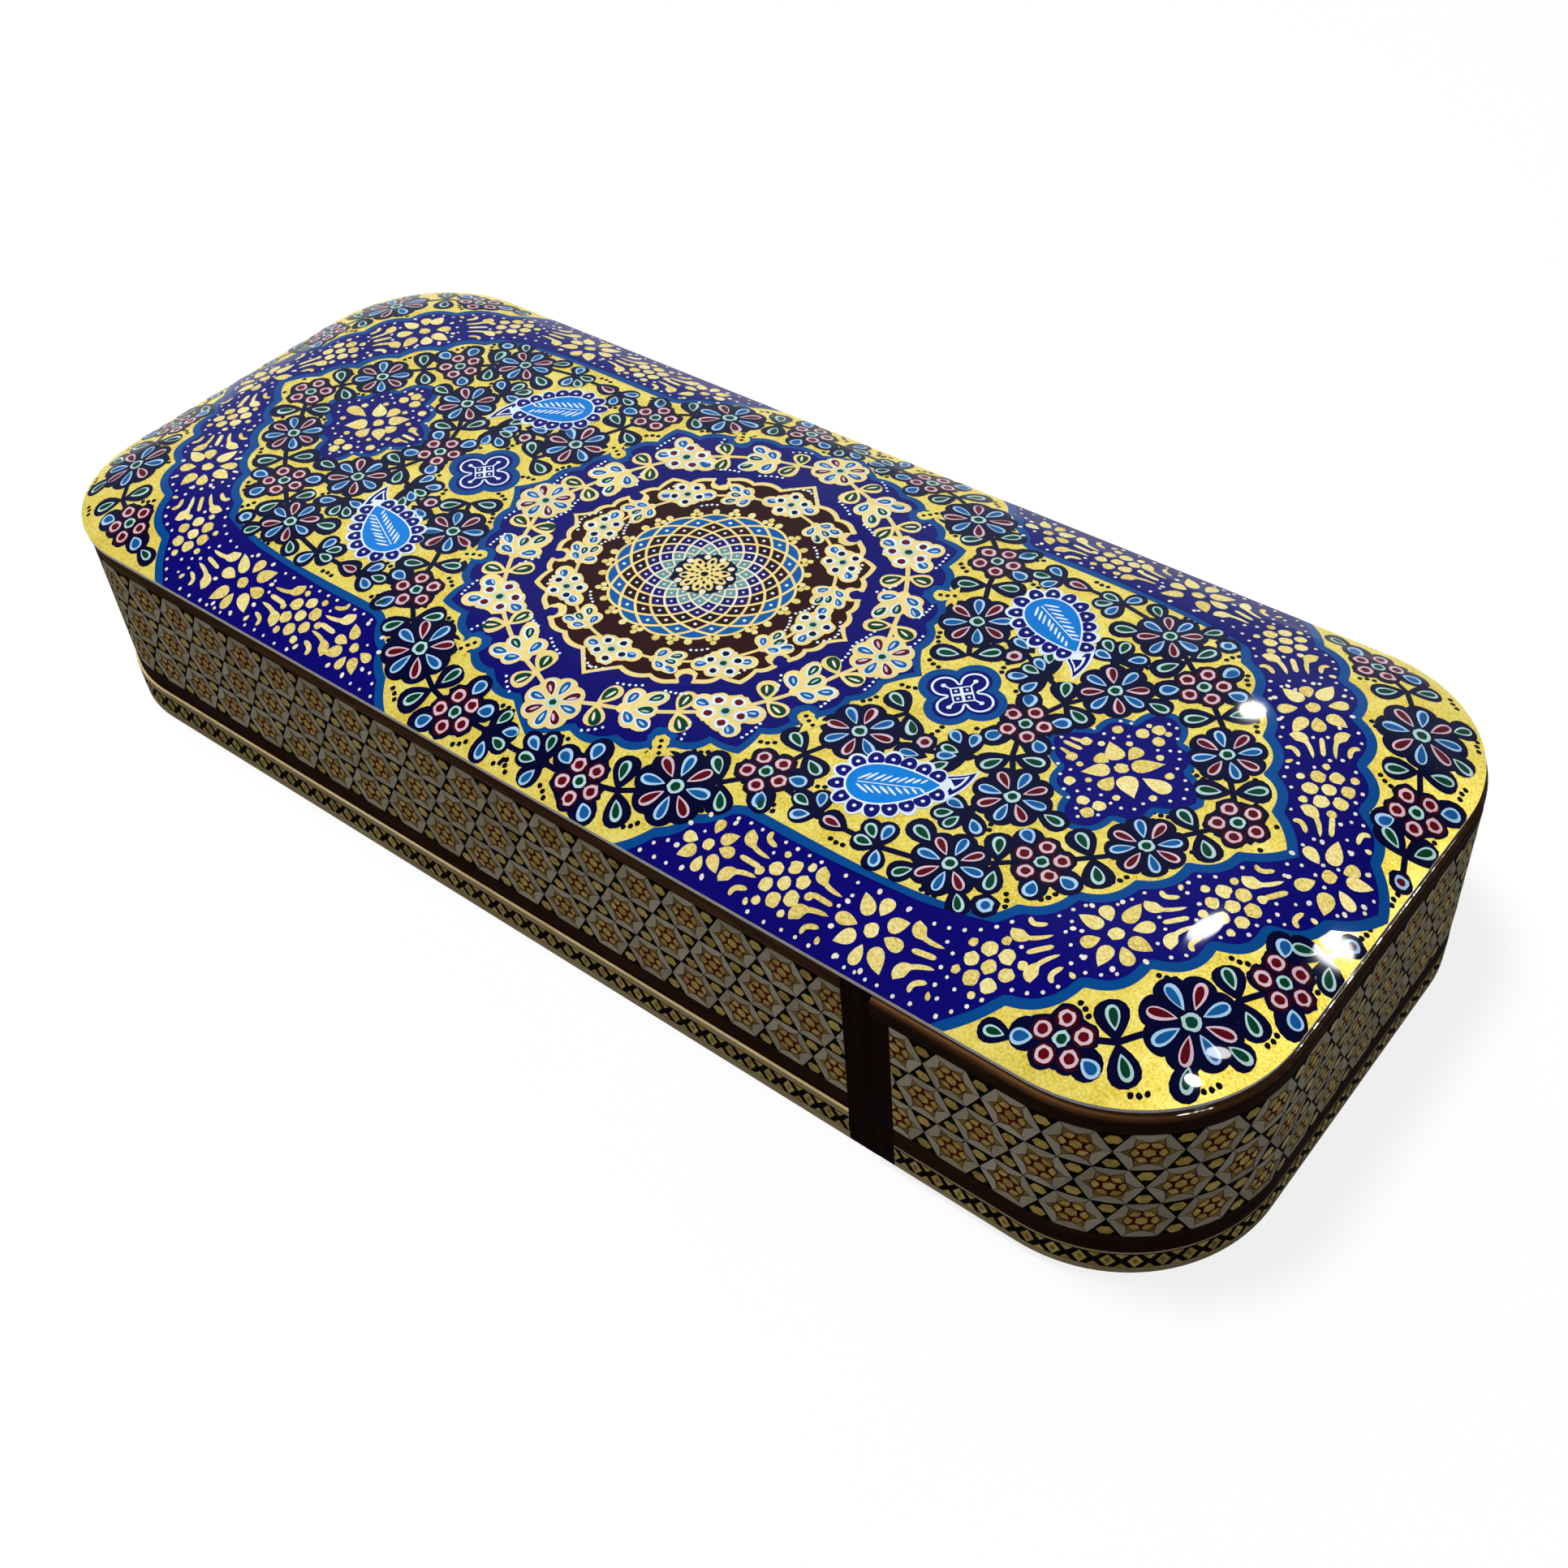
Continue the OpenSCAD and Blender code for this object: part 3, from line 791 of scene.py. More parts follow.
def paintMedallion():
    # blue ring with a sky edge, brown heart with a cream line, then the bays in both lines
    spin, ring = polarOutline(medallion["ring"])
    heart = polarOutline(medallion["heart"])[1]
    lay("skyBlue", 1, strip(polar(spin, ring - medallion["sky"] - 0.3), polar(spin, ring), 2))
    lay("ultramarine", 2, strip(polar(spin, heart - 0.6), polar(spin, ring - medallion["sky"]), 14))
    lay("cream", 3, strip(polar(spin, heart - medallion["line"] - 0.2), polar(spin, heart), 2))
    lay("maroon", 4, fan(polar(spin, heart - medallion["line"])[:-1], np.linspace(0.2, 1, 16)))
    for tab in medallion["tabs"]:
        for degrees, _ in quarters(tab):
            keyhole(degrees, medallion["tabAt"], 1.5, ("skyBlue", 1.25), "gold", 3, 3.0)
            x, y = onCircle(degrees, medallion["tabAt"] + 1.1)
            dotRow(x, y, math.radians(degrees), 3, 1.3, 0.45, "black", 5, 0.05)
    for notch in medallion["notches"]:
        for degrees, _ in quarters(notch):
            keyhole(degrees, medallion["notchAt"], 1.25, ("cream", 1.0), "ultramarine", 5, 2.2)
    paintRing()
    paintHeart()
    paintLattice()
    for (start, near), (stop, far), count in medallion["rows"]:
        for share in np.linspace(0, 1, count):
            for degrees, _ in quarters(start + (stop - start) * share):
                x, y = onCircle(degrees, near + (far - near) * share + 0.5 * share * (1 - share))
                dot("white", 6, x, y, 0.3, 8)


def paintRing():
    # garland on the blue ring: flower, leaves, spray, leaves, cluster, and on to the next flower
    circle = np.linspace(0, 2 * np.pi, 481)
    reach = np.interp(np.degrees(np.arccos(np.abs(np.cos(circle)))), *medallion["stem"])
    lay("cream", 4, ribbon(polar(circle, reach), 0.42))
    for k in range(4):
        flower(*onCircle(90 * k, 40.3), 5.4, math.radians(90 * k + 4), "cream", 5, 1)
    for degrees, hand in quarters(44):
        drops = [facing(degrees, hand, lean) for lean in (88, 22, 222)]
        turn = math.radians(degrees + 20 * hand)
        cluster(*onCircle(degrees, 37.4), turn, drops, 0.95, "cream", 5, ("white", "berryRed"), 7.1)
    for base, radius in medallion["sprays"]:
        for degrees, hand in quarters(base):
            angles = [facing(degrees, hand, petal[0]) for petal in medallion["petals"]]
            spray(*onCircle(degrees, radius), angles, medallion["petals"], 1.08, "cream", 5)
    for base, radius in medallion["pairs"]:
        for degrees, hand in quarters(base):
            for lean in (68, -68):
                leaf(*onCircle(degrees, radius), facing(degrees, hand, lean), 5.1, "cream", 5)


def paintHeart():
    # smaller garland on the brown ground
    places = [(90 * k, 1) for k in range(4)] + list(quarters(42))
    for degrees, hand in places:
        drops = [facing(degrees, hand, lean) for lean in (8, 196)]
        turn = math.radians(degrees + 18)
        cluster(*onCircle(degrees, 25.2), turn, drops, 0.8, "cream", 5, ("white", "black"), 7.2)
    for base in (24.5, 71.0):
        for degrees, hand in quarters(base):
            angles = [facing(degrees, hand, petal[0]) for petal in medallion["small"]]
            spray(*onCircle(degrees, 24.1), angles, medallion["small"], 0.82, "cream", 5)
    circle = np.linspace(0, 2 * np.pi, 241)
    lay("cream", 5, ribbon(polar(circle, np.full(241, 24.0)), 0.32))


def paintLattice():
    # two families of arms wind in opposite ways; row by row the cells between them change colour
    net = medallion["lattice"]
    half = math.pi / net["arms"]
    outer, step = net["outer"], net["step"]
    bow = np.linspace(-1, 1, 9)
    for k in range(net["arms"]):
        for row, colour in enumerate(latticeRows):
            radius = outer - step * (row + 1)
            middle = (2 * k + row) * half
            reach = np.array([radius + step, radius, max(radius - step, 4.6), radius])
            lay(colour, 5, fan(polar(middle + np.array([0, half, 0, -half]), reach)))
            x, y = onCircle(math.degrees(middle), radius)
            dot("white", 7, x, y, 0.36 - 0.02 * row, 8)
        cap = polar((2 * k + 1) * half + bow * half, outer + 0.8 * (1 - bow**2))
        foot = polar(np.array([(2 * k + 1) * half]), np.array([outer - step]))
        lay("latticeBlue", 5, fan(np.concatenate([cap, foot])))
        lay("cream", 6, ribbon(cap, 0.26))
        reach = np.linspace(outer + 0.1, net["inner"], 40)
        wind = (outer - reach) / step * half
        for hand in (1, -1):
            arm = polar(2 * k * half + hand * wind, reach)
            lay("cream", 6, ribbon(arm[:22], np.linspace(0.28, 0.24, 22)))
            lay("ivory", 6, ribbon(arm[21:], np.linspace(0.24, 0.17, 19)))
        x, y = onCircle(math.degrees(2 * k * half), 18.7)
        for turn in (0.0, 2.1, -2.1):
            angle = turn + 2 * k * half
            dot("goldDrop", 7, *beyond(x, y, angle, 0.72), 0.62)
        drop("goldDrop", 7, 0, 0, (2 * k + 1) * half, 17.9, 1.8, 0.72, 0.1)
    dot("navy", 8, 0, 0, 5.9, 40)
    for k in range(10):
        turn = k * math.pi / 5
        drop("ivory", 9, 0, 0, turn + math.pi / 10, 4.3, 1.4, 0.62, 0.0)
        drop("cream", 9, 0, 0, turn, 1.6, 3.4, 0.95, -0.1)
        drop("black", 11, 0, 0, turn, 3.1, 1.1, 0.36, 0.2)
        drop("black", 11, 0, 0, turn + math.pi / 10, 1.9, 1.0, 0.26, 0.2)
    dot("cream", 10, 0, 0, 2.9, 24)
    dot("black", 11, 0, 0, 0.7)
    for k in range(8):
        x, y = onCircle(45 * k + 20, 1.45)
        dot("black", 11, x, y, 0.26, 8)


# End bands: cusps of both edges with the bulge of each stretch, from the long side to the tip
bands = {
    "inner": [
        (25.3, -57.8), (27.4, -55.7), (32.0, -50.6), (36.4, -45.6), (40.8, -41.6), (46.0, -40.0),
        (80.0, -40.4), (90.7, -33.3), (96.1, -26.3), (102.4, -19.2), (106.7, -11.6), (111.7, -5.2),
        (117.4, 0.0),
    ],
    "innerBulge": [0.0, 0.06, 0.12, 0.12, -0.1, 0.0, 0.16, 0.19, 0.19, 0.2, 0.2, 0.08],
    "outer": [
        (90.9, -57.8), (92.8, -55.7), (98.7, -48.4), (106.9, -40.4), (113.2, -32.4), (118.8, -23.5),
        (123.4, -15.4), (129.4, -8.0), (134.9, 0.0),
    ],
    "outerBulge": [0.0, 0.05, 0.17, 0.2, 0.2, 0.2, 0.16, 0.08], "sky": 1.7,
    "line": [
        (124.7, 0.0), (120.4, -8.8), (116.6, -15.0), (111.4, -22.6), (105.8, -30.0), (98.0, -38.4),
        (93.2, -44.6), (83.6, -47.6), (74.2, -48.2), (64.4, -47.8), (57.4, -48.4), (50.2, -48.0),
        (42.2, -48.8),
    ],
    "kinds": "rtdtrtdtrtdts",
}


def evenly(path, count):
    # the same curve with its points spaced evenly along its length
    way = np.concatenate([[0], np.cumsum(np.linalg.norm(np.diff(path, axis=0), axis=1))])
    even = np.linspace(0, way[-1], count)
    return np.column_stack([np.interp(even, way, path[:, k]) for k in range(2)])


def beside(path, away):
    # the curve moved to its right by a distance
    ahead = np.gradient(path, axis=0)
    ahead /= np.linalg.norm(ahead, axis=1)[:, None]
    return path + away * np.column_stack([ahead[:, 1], -ahead[:, 0]])


def inset(path, away):
    # the curve moved sideways, without the loops that form inside its corners
    moved = beside(path, away)
    gap = np.linalg.norm(moved[:, None] - path[None], axis=2).min(1)
    return moved[gap > abs(away) * 0.97]


def stick(share):
    # half width of a stroke with rounded ends
    return np.sqrt(np.maximum(1 - np.abs(2 * share - 1) ** 5, 0))


def tadpole(share):
    # half width of a round head that thins to a tail
    head = np.sin(np.pi * np.minimum(share / 0.6, 1)) ** 0.75
    tail = 0.36 * np.sqrt(np.maximum(1 - np.abs((share - 0.4) / 0.6) ** 4, 0))
    return np.maximum(head, tail * (share > 0.3))


def stroke(colour, level, x, y, angle, bend, half, profile):
    # one pull of the brush along a bent line given by three points
    a, b, c = np.asarray(bend, float)
    share = np.linspace(0, 1, 15)[:, None]
    path = (1 - share) ** 2 * a + 2 * share * (1 - share) * b + share**2 * c
    uneven = 1 + 0.05 * rng.standard_normal()
    lay(colour, level, ribbon(spun(path, x, y, angle), half * uneven * profile(share[:, 0]), 2))


def rosette(x, y, turn, size=1.0, base=3, count=8):
    # gold drops round a gold spot: large ones pointing outwards, smaller round ones between
    dot("goldDrop", base, x, y, 1.2 * size, 14)
    for k in range(count):
        angle = turn + (k + 0.06 * rng.standard_normal()) * 2 * math.pi / count
        long = size * (1 + 0.06 * rng.standard_normal())
        if k % 2:
            drop("goldDrop", base, x, y, angle + math.pi, -6.8 * long, 4.2 * long, 1.34 * size, 0.5)
        else:
            drop("goldDrop", base, x, y, angle, 2.5 * size, 3.4 * long, 1.18 * size, 0.4)
        drop("ivory", base, x, y, angle + math.pi / count, 5.9 * size, 1.0, 0.4, 0.0)


def tulips(x, y, turn, base=3):
    # across the band: comma, curled leaf, straight stroke, curled leaf, comma; the tails point along it
    stroke("goldDrop", base, x, y, turn, ((-2.1, 0.1), (0, 0), (2.1, -0.1)), 0.46, stick)
    for side in (1, -1):
        mirror = np.array([1, side])
        leafBend = np.array(((-2.9, 4.9), (-2.6, 1.8), (2.6, 1.8))) * mirror
        commaBend = np.array(((0.3, 6.0), (-0.5, 4.3), (2.4, 4.0))) * mirror
        stroke("goldDrop", base, x, y, turn, leafBend, 1.15, tadpole)
        stroke("goldDrop", base, x, y, turn, commaBend, 0.44, stick)
        px, py = spun(np.array([[3.2, 5.6 * side]]), x, y, turn)[0]
        drop("goldDrop", base, px, py, turn + 1.2 * side, -0.6, 1.3, 0.42, 0.2)


def berries(x, y, turn, base=3):
    # six gold spots round a seventh, with lesser ones outside
    dot("goldDrop", base, x, y, 1.2, 12)
    rings = (3.0, 0.5, 1.15, 0.15, 12), (4.9, 0, 0.62, 0.2, 10)
    for k in range(6):
        for far, lag, radius, more, count in rings:
            angle = turn + (k + lag) * math.pi / 3
            dot("goldDrop", base, *beyond(x, y, angle, far), radius + more * rng.random(), count)


def within(points, outline):
    # inside when a level line from the point crosses the outline an odd number of times
    a, b = outline, np.roll(outline, -1, 0)
    x, y = points[:, :1], points[:, 1:]
    rises = (a[:, 1] > y) != (b[:, 1] > y)
    cut = a[:, 0] + (y - a[:, 1]) * (b[:, 0] - a[:, 0]) / (b[:, 1] - a[:, 1] + 1e-12)
    return (rises & (x < cut)).sum(1) % 2 == 1


def paintFiller(area, sides, gold, outline):
    # cream dots along both edges, then darts thrown at the band that keep clear of everything before them
    edge = np.concatenate(sides)
    kept = np.concatenate([evenly(beside(sides[0], 0.8), 52), evenly(beside(sides[1], -0.8), 34)])
    tries = area[rng.integers(0, len(area), 2600)] + rng.normal(0, 0.4, (2600, 2))
    spots = np.concatenate([kept, tries])
    room = np.repeat([0.7, 1.0], [len(kept), len(tries)])
    good = np.linalg.norm(spots[:, None] - gold[None], axis=2).min(1) > 0.85
    good &= np.linalg.norm(spots[:, None] - edge[None], axis=2).min(1) > room
    good &= within(spots, outline) & (spots[:, 1] < -0.5) & (spots[:, 1] > -55)
    chosen = []
    for spot in spots[good]:
        if not chosen or np.linalg.norm(np.array(chosen) - spot, axis=1).min() > 1.75:
            chosen.append(spot)
    for x, y in chosen:
        for px, py, _ in around(x, y):
            dot("ivory", 3, px, py, 0.29 + 0.09 * rng.random(), 8)


def paintBands():
    # sky band, blue band inside it, then gold along its middle line, kept to the blue and clear of spots
    edges = [evenly(scallops(bands[name], bands[name + "Bulge"]), 260) for name in ("inner", "outer")]
    lines = [inset(edges[0], bands["sky"]), inset(edges[1], -bands["sky"])]
    lines[0] = np.concatenate([lines[0], [[bands["inner"][-1][0] + 1.25 * bands["sky"], 0]]])
    sides = [evenly(np.minimum(line, (999, 0)), 160) for line in lines]
    whole = strip(evenly(edges[0], 160), evenly(edges[1], 160), 24)
    body = strip(*sides, 24)
    for sx, sy in mirrors:
        lay("skyBlue", 1, (whole[0] * (sx, sy), whole[1]))
        lay("ultramarine", 2, (body[0] * (sx, sy), body[1]))
    line = np.asarray(bands["line"])
    ahead = np.gradient(line, axis=0)
    turns = np.degrees(np.arctan2(-ahead[:, 1], -ahead[:, 0]))
    draw = {"r": rosette, "s": lambda *place: rosette(*place, 0.82), "t": tulips, "d": berries}
    first, firstSpot = (len(dabs.get(name, [])) for name in ("goldDrop", "ivory"))
    for (x, y), turn, kind in zip(line, turns, bands["kinds"]):
        for px, py, (angle,) in around(x, y, (turn,)):
            draw[kind](px, py, angle)
    outline = np.concatenate([sides[0], sides[1][::-1]])
    outline[outline[:, 1] > -0.01, 1] = 0.5
    new = dabs["goldDrop"][first:]
    kept = [dab for dab in new if within(np.abs(dab[0]) * (1, -1), outline).all()]
    dabs["goldDrop"][first:] = kept
    gold = np.concatenate([dab[0] for dab in kept])
    spots = dabs["ivory"][firstSpot:]
    gaps = [np.linalg.norm(gold - dab[0].mean(0), axis=1).min() for dab in spots]
    dabs["ivory"][firstSpot:] = [dab for dab, gap in zip(spots, gaps) if gap > 0.85]
    gold = gold[(gold[:, 0] > 0) & (gold[:, 1] < 2)]
    paintFiller(body[0], sides, gold, outline)


# Diamond medallions, quatrefoils and botehs
diamond = {
    "middle": 88.45, "cusps": [(14.4, 0), (9.0, -5.4), (4.6, -10.6), (0, -15.9)],
    "bulges": [-0.12, -0.26, -0.2], "sky": 1.2,
    "petals": [
        (0, 5.6, 1.4, 1), (43, 5.2, 1.5, -1), (87, 3.5, 1.3, 1), (138, 4.5, 1.65, -1),
        (180, 2.7, 1.3, 1), (222, 4.5, 1.5, -1), (270, 3.6, 1.4, 1), (318, 5.0, 1.75, -1),
    ],
    "spots": [
        (-5.2, 7.4, 0.95), (-5.2, -7.0, 0.95), (-1.4, 8.9, 1.15), (1.7, 8.7, 1.05), (0.3, 11.0, 1.15),
        (1.7, -9.1, 1.1), (-1.1, -9.5, 1.05), (0.9, -11.4, 1.15), (-1.9, 5.6, 0.6), (3.8, 5.6, 0.65),
        (7.2, 2.8, 0.75), (7.6, -2.9, 0.65), (2.9, -6.1, 0.65), (-2.8, -5.2, 0.55), (-5.9, -2.9, 0.6),
        (-5.6, 3.1, 0.6), (-1.5, 11.0, 0.5), (2.1, 11.1, 0.6),
    ],
    "dots": [
        (0.9, 13.2), (2.4, 13.1), (3.8, 11.0), (5.6, 8.6), (6.5, 7.1), (4.3, 7.9), (2.6, 6.9),
        (-2.9, 7.0), (-5.9, 9.4), (-4.2, 9.9), (-8.5, 5.4), (-6.5, 5.3), (-4.7, 5.3), (-11.7, 0.7),
        (-11.4, -2.2), (-8.8, -4.8), (-6.4, -4.8), (7.3, 5.0), (9.7, 3.4), (10.9, 1.8), (11.6, -0.2),
        (10.1, -1.9), (7.0, -4.8), (6.5, -6.6), (4.7, -7.6), (2.8, -7.6), (2.6, -10.9), (-1.6, -6.9),
        (0.6, -6.9), (-3.3, -10.3), (-4.9, -9.1), (-7.2, -6.6), (-2.9, -8.3), (-1.0, -11.6),
        (0.2, -13.0),
    ],
}
quatrefoil = {"middle": 57.1, "lobe": 4.3, "away": 3.9}
boteh = {
    "end": (53.6, -27.4), "tip": (67.2, -20.9), "half": 4.4, "bend": 1.2, "lobes": 15,
    "lobe": (2.3, 1.3),
    "horn": ((64.2, -18.6), (66.6, -16.9), (70.1, -13.2), (70.3, -18.2), (69.2, -21.8)),
}


def paintDiamonds():
    # a scalloped sky diamond, a blue one inside it, then gold drops round its middle
    quarter = scallops(diamond["cusps"], diamond["bulges"], 12)
    turned = [quarter, (quarter * (-1, 1))[::-1], quarter * (-1, -1), (quarter * (1, -1))[::-1]]
    outline = np.concatenate([part[:-1] for part in turned])
    closed = evenly(np.concatenate([outline, outline[:1]]), 320)
    inside = inset(closed, diamond["sky"])
    for hand in (1, -1):
        mirror = np.array([hand, 1])
        middle = np.array([hand * diamond["middle"], 0.0])
        lay("skyBlue", 1, fan(outline * mirror + middle))
        lay("ultramarine", 2, fan(inside * mirror + middle))
        middle = middle - (0.5 * hand, 0)
        dot("goldDrop", 3, *middle, 1.15, 16)
        for degrees, length, half, way in diamond["petals"]:
            angle = mirrored(math.radians(degrees), hand, 1)
            if way > 0:
                drop("goldDrop", 3, *middle, angle, 2.3 + 1.6 * (degrees == 0), length, half, 0.6)
            else:
                drop("goldDrop", 3, *middle, angle + math.pi, -2.0 - length, length, half, 0.75)
        for x, y, size in diamond["spots"]:
            dot("goldDrop", 3, middle[0] + hand * x, y, size, 12)
        for x, y in diamond["dots"]:
            dot("ivory", 3, middle[0] + hand * x, y, 0.32, 8)
        turn = 0 if hand > 0 else math.pi
        stroke("goldDrop", 3, *middle, turn, ((-11.0, 0.2), (-9.2, 0.1), (-7.4, 0.2)), 0.42, stick)
        for side in (1, -1):
            way = np.array(((-7.2, 2.9 * side), (-8.2, 1.5 * side), (-10.6, 1.5 * side)))
            stroke("goldDrop", 3, *middle, turn, way, 0.95, tadpole)


def lobed(lobe, away, count=96):
    # the outline of four equal circles set round a middle
    spin = np.linspace(0, 2 * np.pi, count, endpoint=False)
    turn = (spin + np.pi / 4) % (np.pi / 2) - np.pi / 4
    return polar(spin, away * np.cos(turn) + np.sqrt(np.maximum(lobe**2 - (away * np.sin(turn)) ** 2, 0)))


def paintQuatrefoils():
    # a sky quatrefoil, a blue one inside it, a white loop and four small squares with their stalks
    loops = lobed(2.2, 3.55, 240)
    loops = np.concatenate([loops, loops[:2]])
    square = np.array([[1.35, 0], [0, 1.35], [-1.35, 0], [0, -1.35]])
    for hand in (1, -1):
        x = hand * quatrefoil["middle"]
        lay("skyBlue", 3, fan(lobed(quatrefoil["lobe"], quatrefoil["away"]) + (x, 0)))
        lay("ultramarine", 4, fan(lobed(quatrefoil["lobe"] - 1.4, quatrefoil["away"] - 0.1) + (x, 0)))
        lay("white", 5, ribbon(loops + (x, 0), 0.21))
        for k in range(4):
            turn = k * math.pi / 2
            lay("white", 5, fan(spun(square, x, 0, turn, 1.35)))
            lay("ultramarine", 6, fan(spun(square * 0.7, x, 0, turn, 1.35)))
            lay("white", 7, fan(spun(square * 0.24, x, 0, turn, 1.35)))
            stroke("white", 5, x, 0, turn, ((2.5, 0), (3.2, 0), (3.9, 0)), 0.17, stick)
            px, py = spun(np.array([[3.9, 0.0]]), x, 0, turn)[0]
            dot("white", 6, px, py, 0.46)


def botehShape(grow, count=64):
    # a drop on a bent axis, grown outwards along its normal
    end, tip = np.array(boteh["end"]), np.array(boteh["tip"])
    length = np.linalg.norm(tip - end)
    turn = np.linspace(0, 2 * np.pi, count, endpoint=False)
    way = (1 + np.cos(turn)) / 2
    wide = np.sin(turn) * (1 - way) ** 0.42
    side = boteh["half"] * wide / np.abs(wide).max() + boteh["bend"] * way**3
    line = np.column_stack([length * way, side])
    ahead = np.roll(line, -1, 0) - np.roll(line, 1, 0)
    ahead /= np.linalg.norm(ahead, axis=1)[:, None]
    line = line + grow * np.column_stack([ahead[:, 1], -ahead[:, 0]])
    return spun(line, *end, math.atan2(*(tip - end)[::-1]))


def paintBotehs():
    # a white-edged drop with a lobed border, a curled horn and fern-like veins
    ring = botehShape(0.55, 320)[14:-9]
    rim = evenly(ring, 2 * boteh["lobes"] + 1)[1::2]
    ahead = np.gradient(evenly(ring, 2 * boteh["lobes"] + 1), axis=0)[1::2]
    out = np.arctan2(-ahead[:, 0], ahead[:, 1])
    tip, end = np.array(boteh["tip"]), np.array(boteh["end"])
    spine = math.atan2(tip[1] - end[1], tip[0] - end[0])
    across = np.array([-math.sin(spine), math.cos(spine)])
    horn = scallops(boteh["horn"], (0.06, 0.06, -0.04, -0.04), 8)
    heart = horn.mean(0)
    length, half = boteh["lobe"]
    for sx, sy in mirrors:
        mirror = np.array([sx, sy])
        lay("white", 3, fan(horn * mirror))
        for level, colour, share in ((4, "ultramarine", 0.8), (5, "white", 0.5), (6, "ultramarine", 0.3)):
            lay(colour, level, fan((heart + (horn - heart) * share) * mirror))
        lay("white", 5, fan(botehShape(1.7) * mirror))
        for (px, py), angle in zip(rim * mirror, out):
            turned = mirrored(angle, sx, sy)
            drop("white", 5, px, py, turned, -0.75, length + 1.15, half + 0.45, -0.2)
            drop("ultramarine", 7, px, py, turned, -0.4, length + 0.4, half, -0.2)
            dot("white", 8, *beyond(px, py, turned, 0.85), 0.36, 8)
        lay("white", 8, fan(botehShape(0.36) * mirror))
        lay("botehBlue", 9, fan(botehShape(0.0) * mirror))
        lay("white", 10, ribbon((end + (tip - end) * np.linspace(0.12, 0.8, 12)[:, None]) * mirror, 0.1))
        for share in np.linspace(0.1, 0.78, 9):
            for side in (1, -1):
                lean = spine + side * 0.75
                spot = end + (tip - end) * share + across * (0.35 * side + boteh["bend"] * share**3)
                long = 0.6 + 2.3 * (1 - share) ** 0.6
                drop("white", 10, *(spot * mirror), mirrored(lean, sx, sy), 0.25, long, 0.22, 0.0)


def paintGround(count=384):
    # rings of the rounded sheet from its middle out to the edge, with the last ones turned down over it
    spin = np.linspace(0, 2 * np.pi, count, endpoint=False)
    quarter = np.sign(polar(spin + 1e-6, 1)) * flat
    way = np.concatenate([[0.0], np.linspace(0.6, cornerR, 40)])
    arm = polar(spin, 1)
    plan = (quarter[None] + way[:, None, None] * arm[None]).reshape(-1, 2)
    points, normals = crownPlace(plan, np.full(len(plan), coats["ground"]))
    lip = points[-count:] + np.column_stack([arm * 0.05, np.full(count, -0.04)])
    lipNormal = np.column_stack([arm * 0.9, np.full(count, 0.43)])
    middle = np.array([[0, 0, sheetHigh[2] + coats["ground"]]])
    points = np.concatenate([points, lip, middle])
    normals = np.concatenate([normals, lipNormal, [[0, 0, 1.0]]])
    here = np.arange(count)
    core = np.column_stack([np.full(count, len(points) - 1), here, np.roll(here, -1)])
    faces = np.concatenate([ringFaces(len(way) + 1, count), core])
    edges = [points[faces[:, k]] - points[faces[:, 0]] for k in (1, 2)]
    faces = faces[np.linalg.norm(np.cross(*edges), axis=1) > 1e-7]
    tones = np.full(len(points), 0.5)
    makePiece("paint_gold_ground", points, faces, "gold", "case", normals, tones)


paintGround()
paintField()
paintMedallion()
paintBands()
paintDiamonds()
paintQuatrefoils()
paintBotehs()
for colour, heap in dabs.items():
    plan, faces, lift, tones = joined(heap)
    points, normals = crownPlace(plan, lift)
    makePiece("paint_" + colour, points, faces, colour, "case", normals, tones)
    print("painted", colour, len(heap), "dabs,", len(faces), "triangles")


# Khatam: star hexagons with small triangles between, wrapped round a wall that turns two corners
def wallOf(panel, border, start, side, pitch, first):
    # corner radii and heights of a marquetry panel and of the border under it, from their CAD boxes
    low, high = boxOf(panel)
    edgeLow, edgeHigh = boxOf(border)
    reach, edgeReach = (high[0], edgeHigh[0]) if side > 0 else (-low[0], -edgeLow[0])
    wall = {"start": start, "side": side, "pitch": pitch, "first": first, "low": low[2], "high": high[2]}
    edge = {"edgeRadius": edgeReach - flatX, "edgeLow": edgeLow[2], "edgeHigh": edgeHigh[2]}
    return {"radius": reach - flatX, **wall, **edge}


walls = {
    "case": wallOf("khatam_tail", "plinth_border", boxOf("khatam_front")[1][0], -1, 10.15, 2.05),
    "drawer": wallOf("head_khatam", "head_border", boxOf("head_khatam")[0][0], 1, 10.5, 0.9),
}
khatam = {
    "starOut": 0.77, "starIn": 0.515, "heart": 0.2, "seam": 0.06, "lift": 0.055, "spot": 0.235,
    "border": 4.27,
}


def wallPlace(along, up, lift, radius, start, side):
    # straight run, quarter turn, end, quarter turn and the run back, as one length along the wall
    run = flatX - side * start
    turn = radius * math.pi / 2
    first = np.clip(along, 0, run)
    bend = np.clip(along - run, 0, turn) / radius
    across = np.clip(along - run - turn, 0, 2 * flatY)
    again = np.clip(along - run - turn - 2 * flatY, 0, turn) / radius
    last = np.clip(along - run - 2 * turn - 2 * flatY, 0, run)
    x = side * start + first + radius * np.sin(bend) - radius * (1 - np.cos(again)) - last
    y = -(flatY + radius) + radius * (1 - np.cos(bend)) + across + radius * np.sin(again)
    heading = bend + again
    normal = np.column_stack([side * np.sin(heading), -np.cos(heading), np.zeros(len(along))])
    return np.column_stack([side * x, y, up]) + normal * lift, normal


def wallLength(radius, start, side):
    # two straight runs, two quarter turns and the end between them
    return 2 * (flatX - side * start) + radius * math.pi + 2 * flatY


def shrunk(shape, seam):
    # a tile drawn in towards its middle, to leave a seam round it
    middle = shape.mean(0)
    size = np.linalg.norm(shape - middle, axis=1).mean()
    return middle + (shape - middle) * (1 - seam / size)


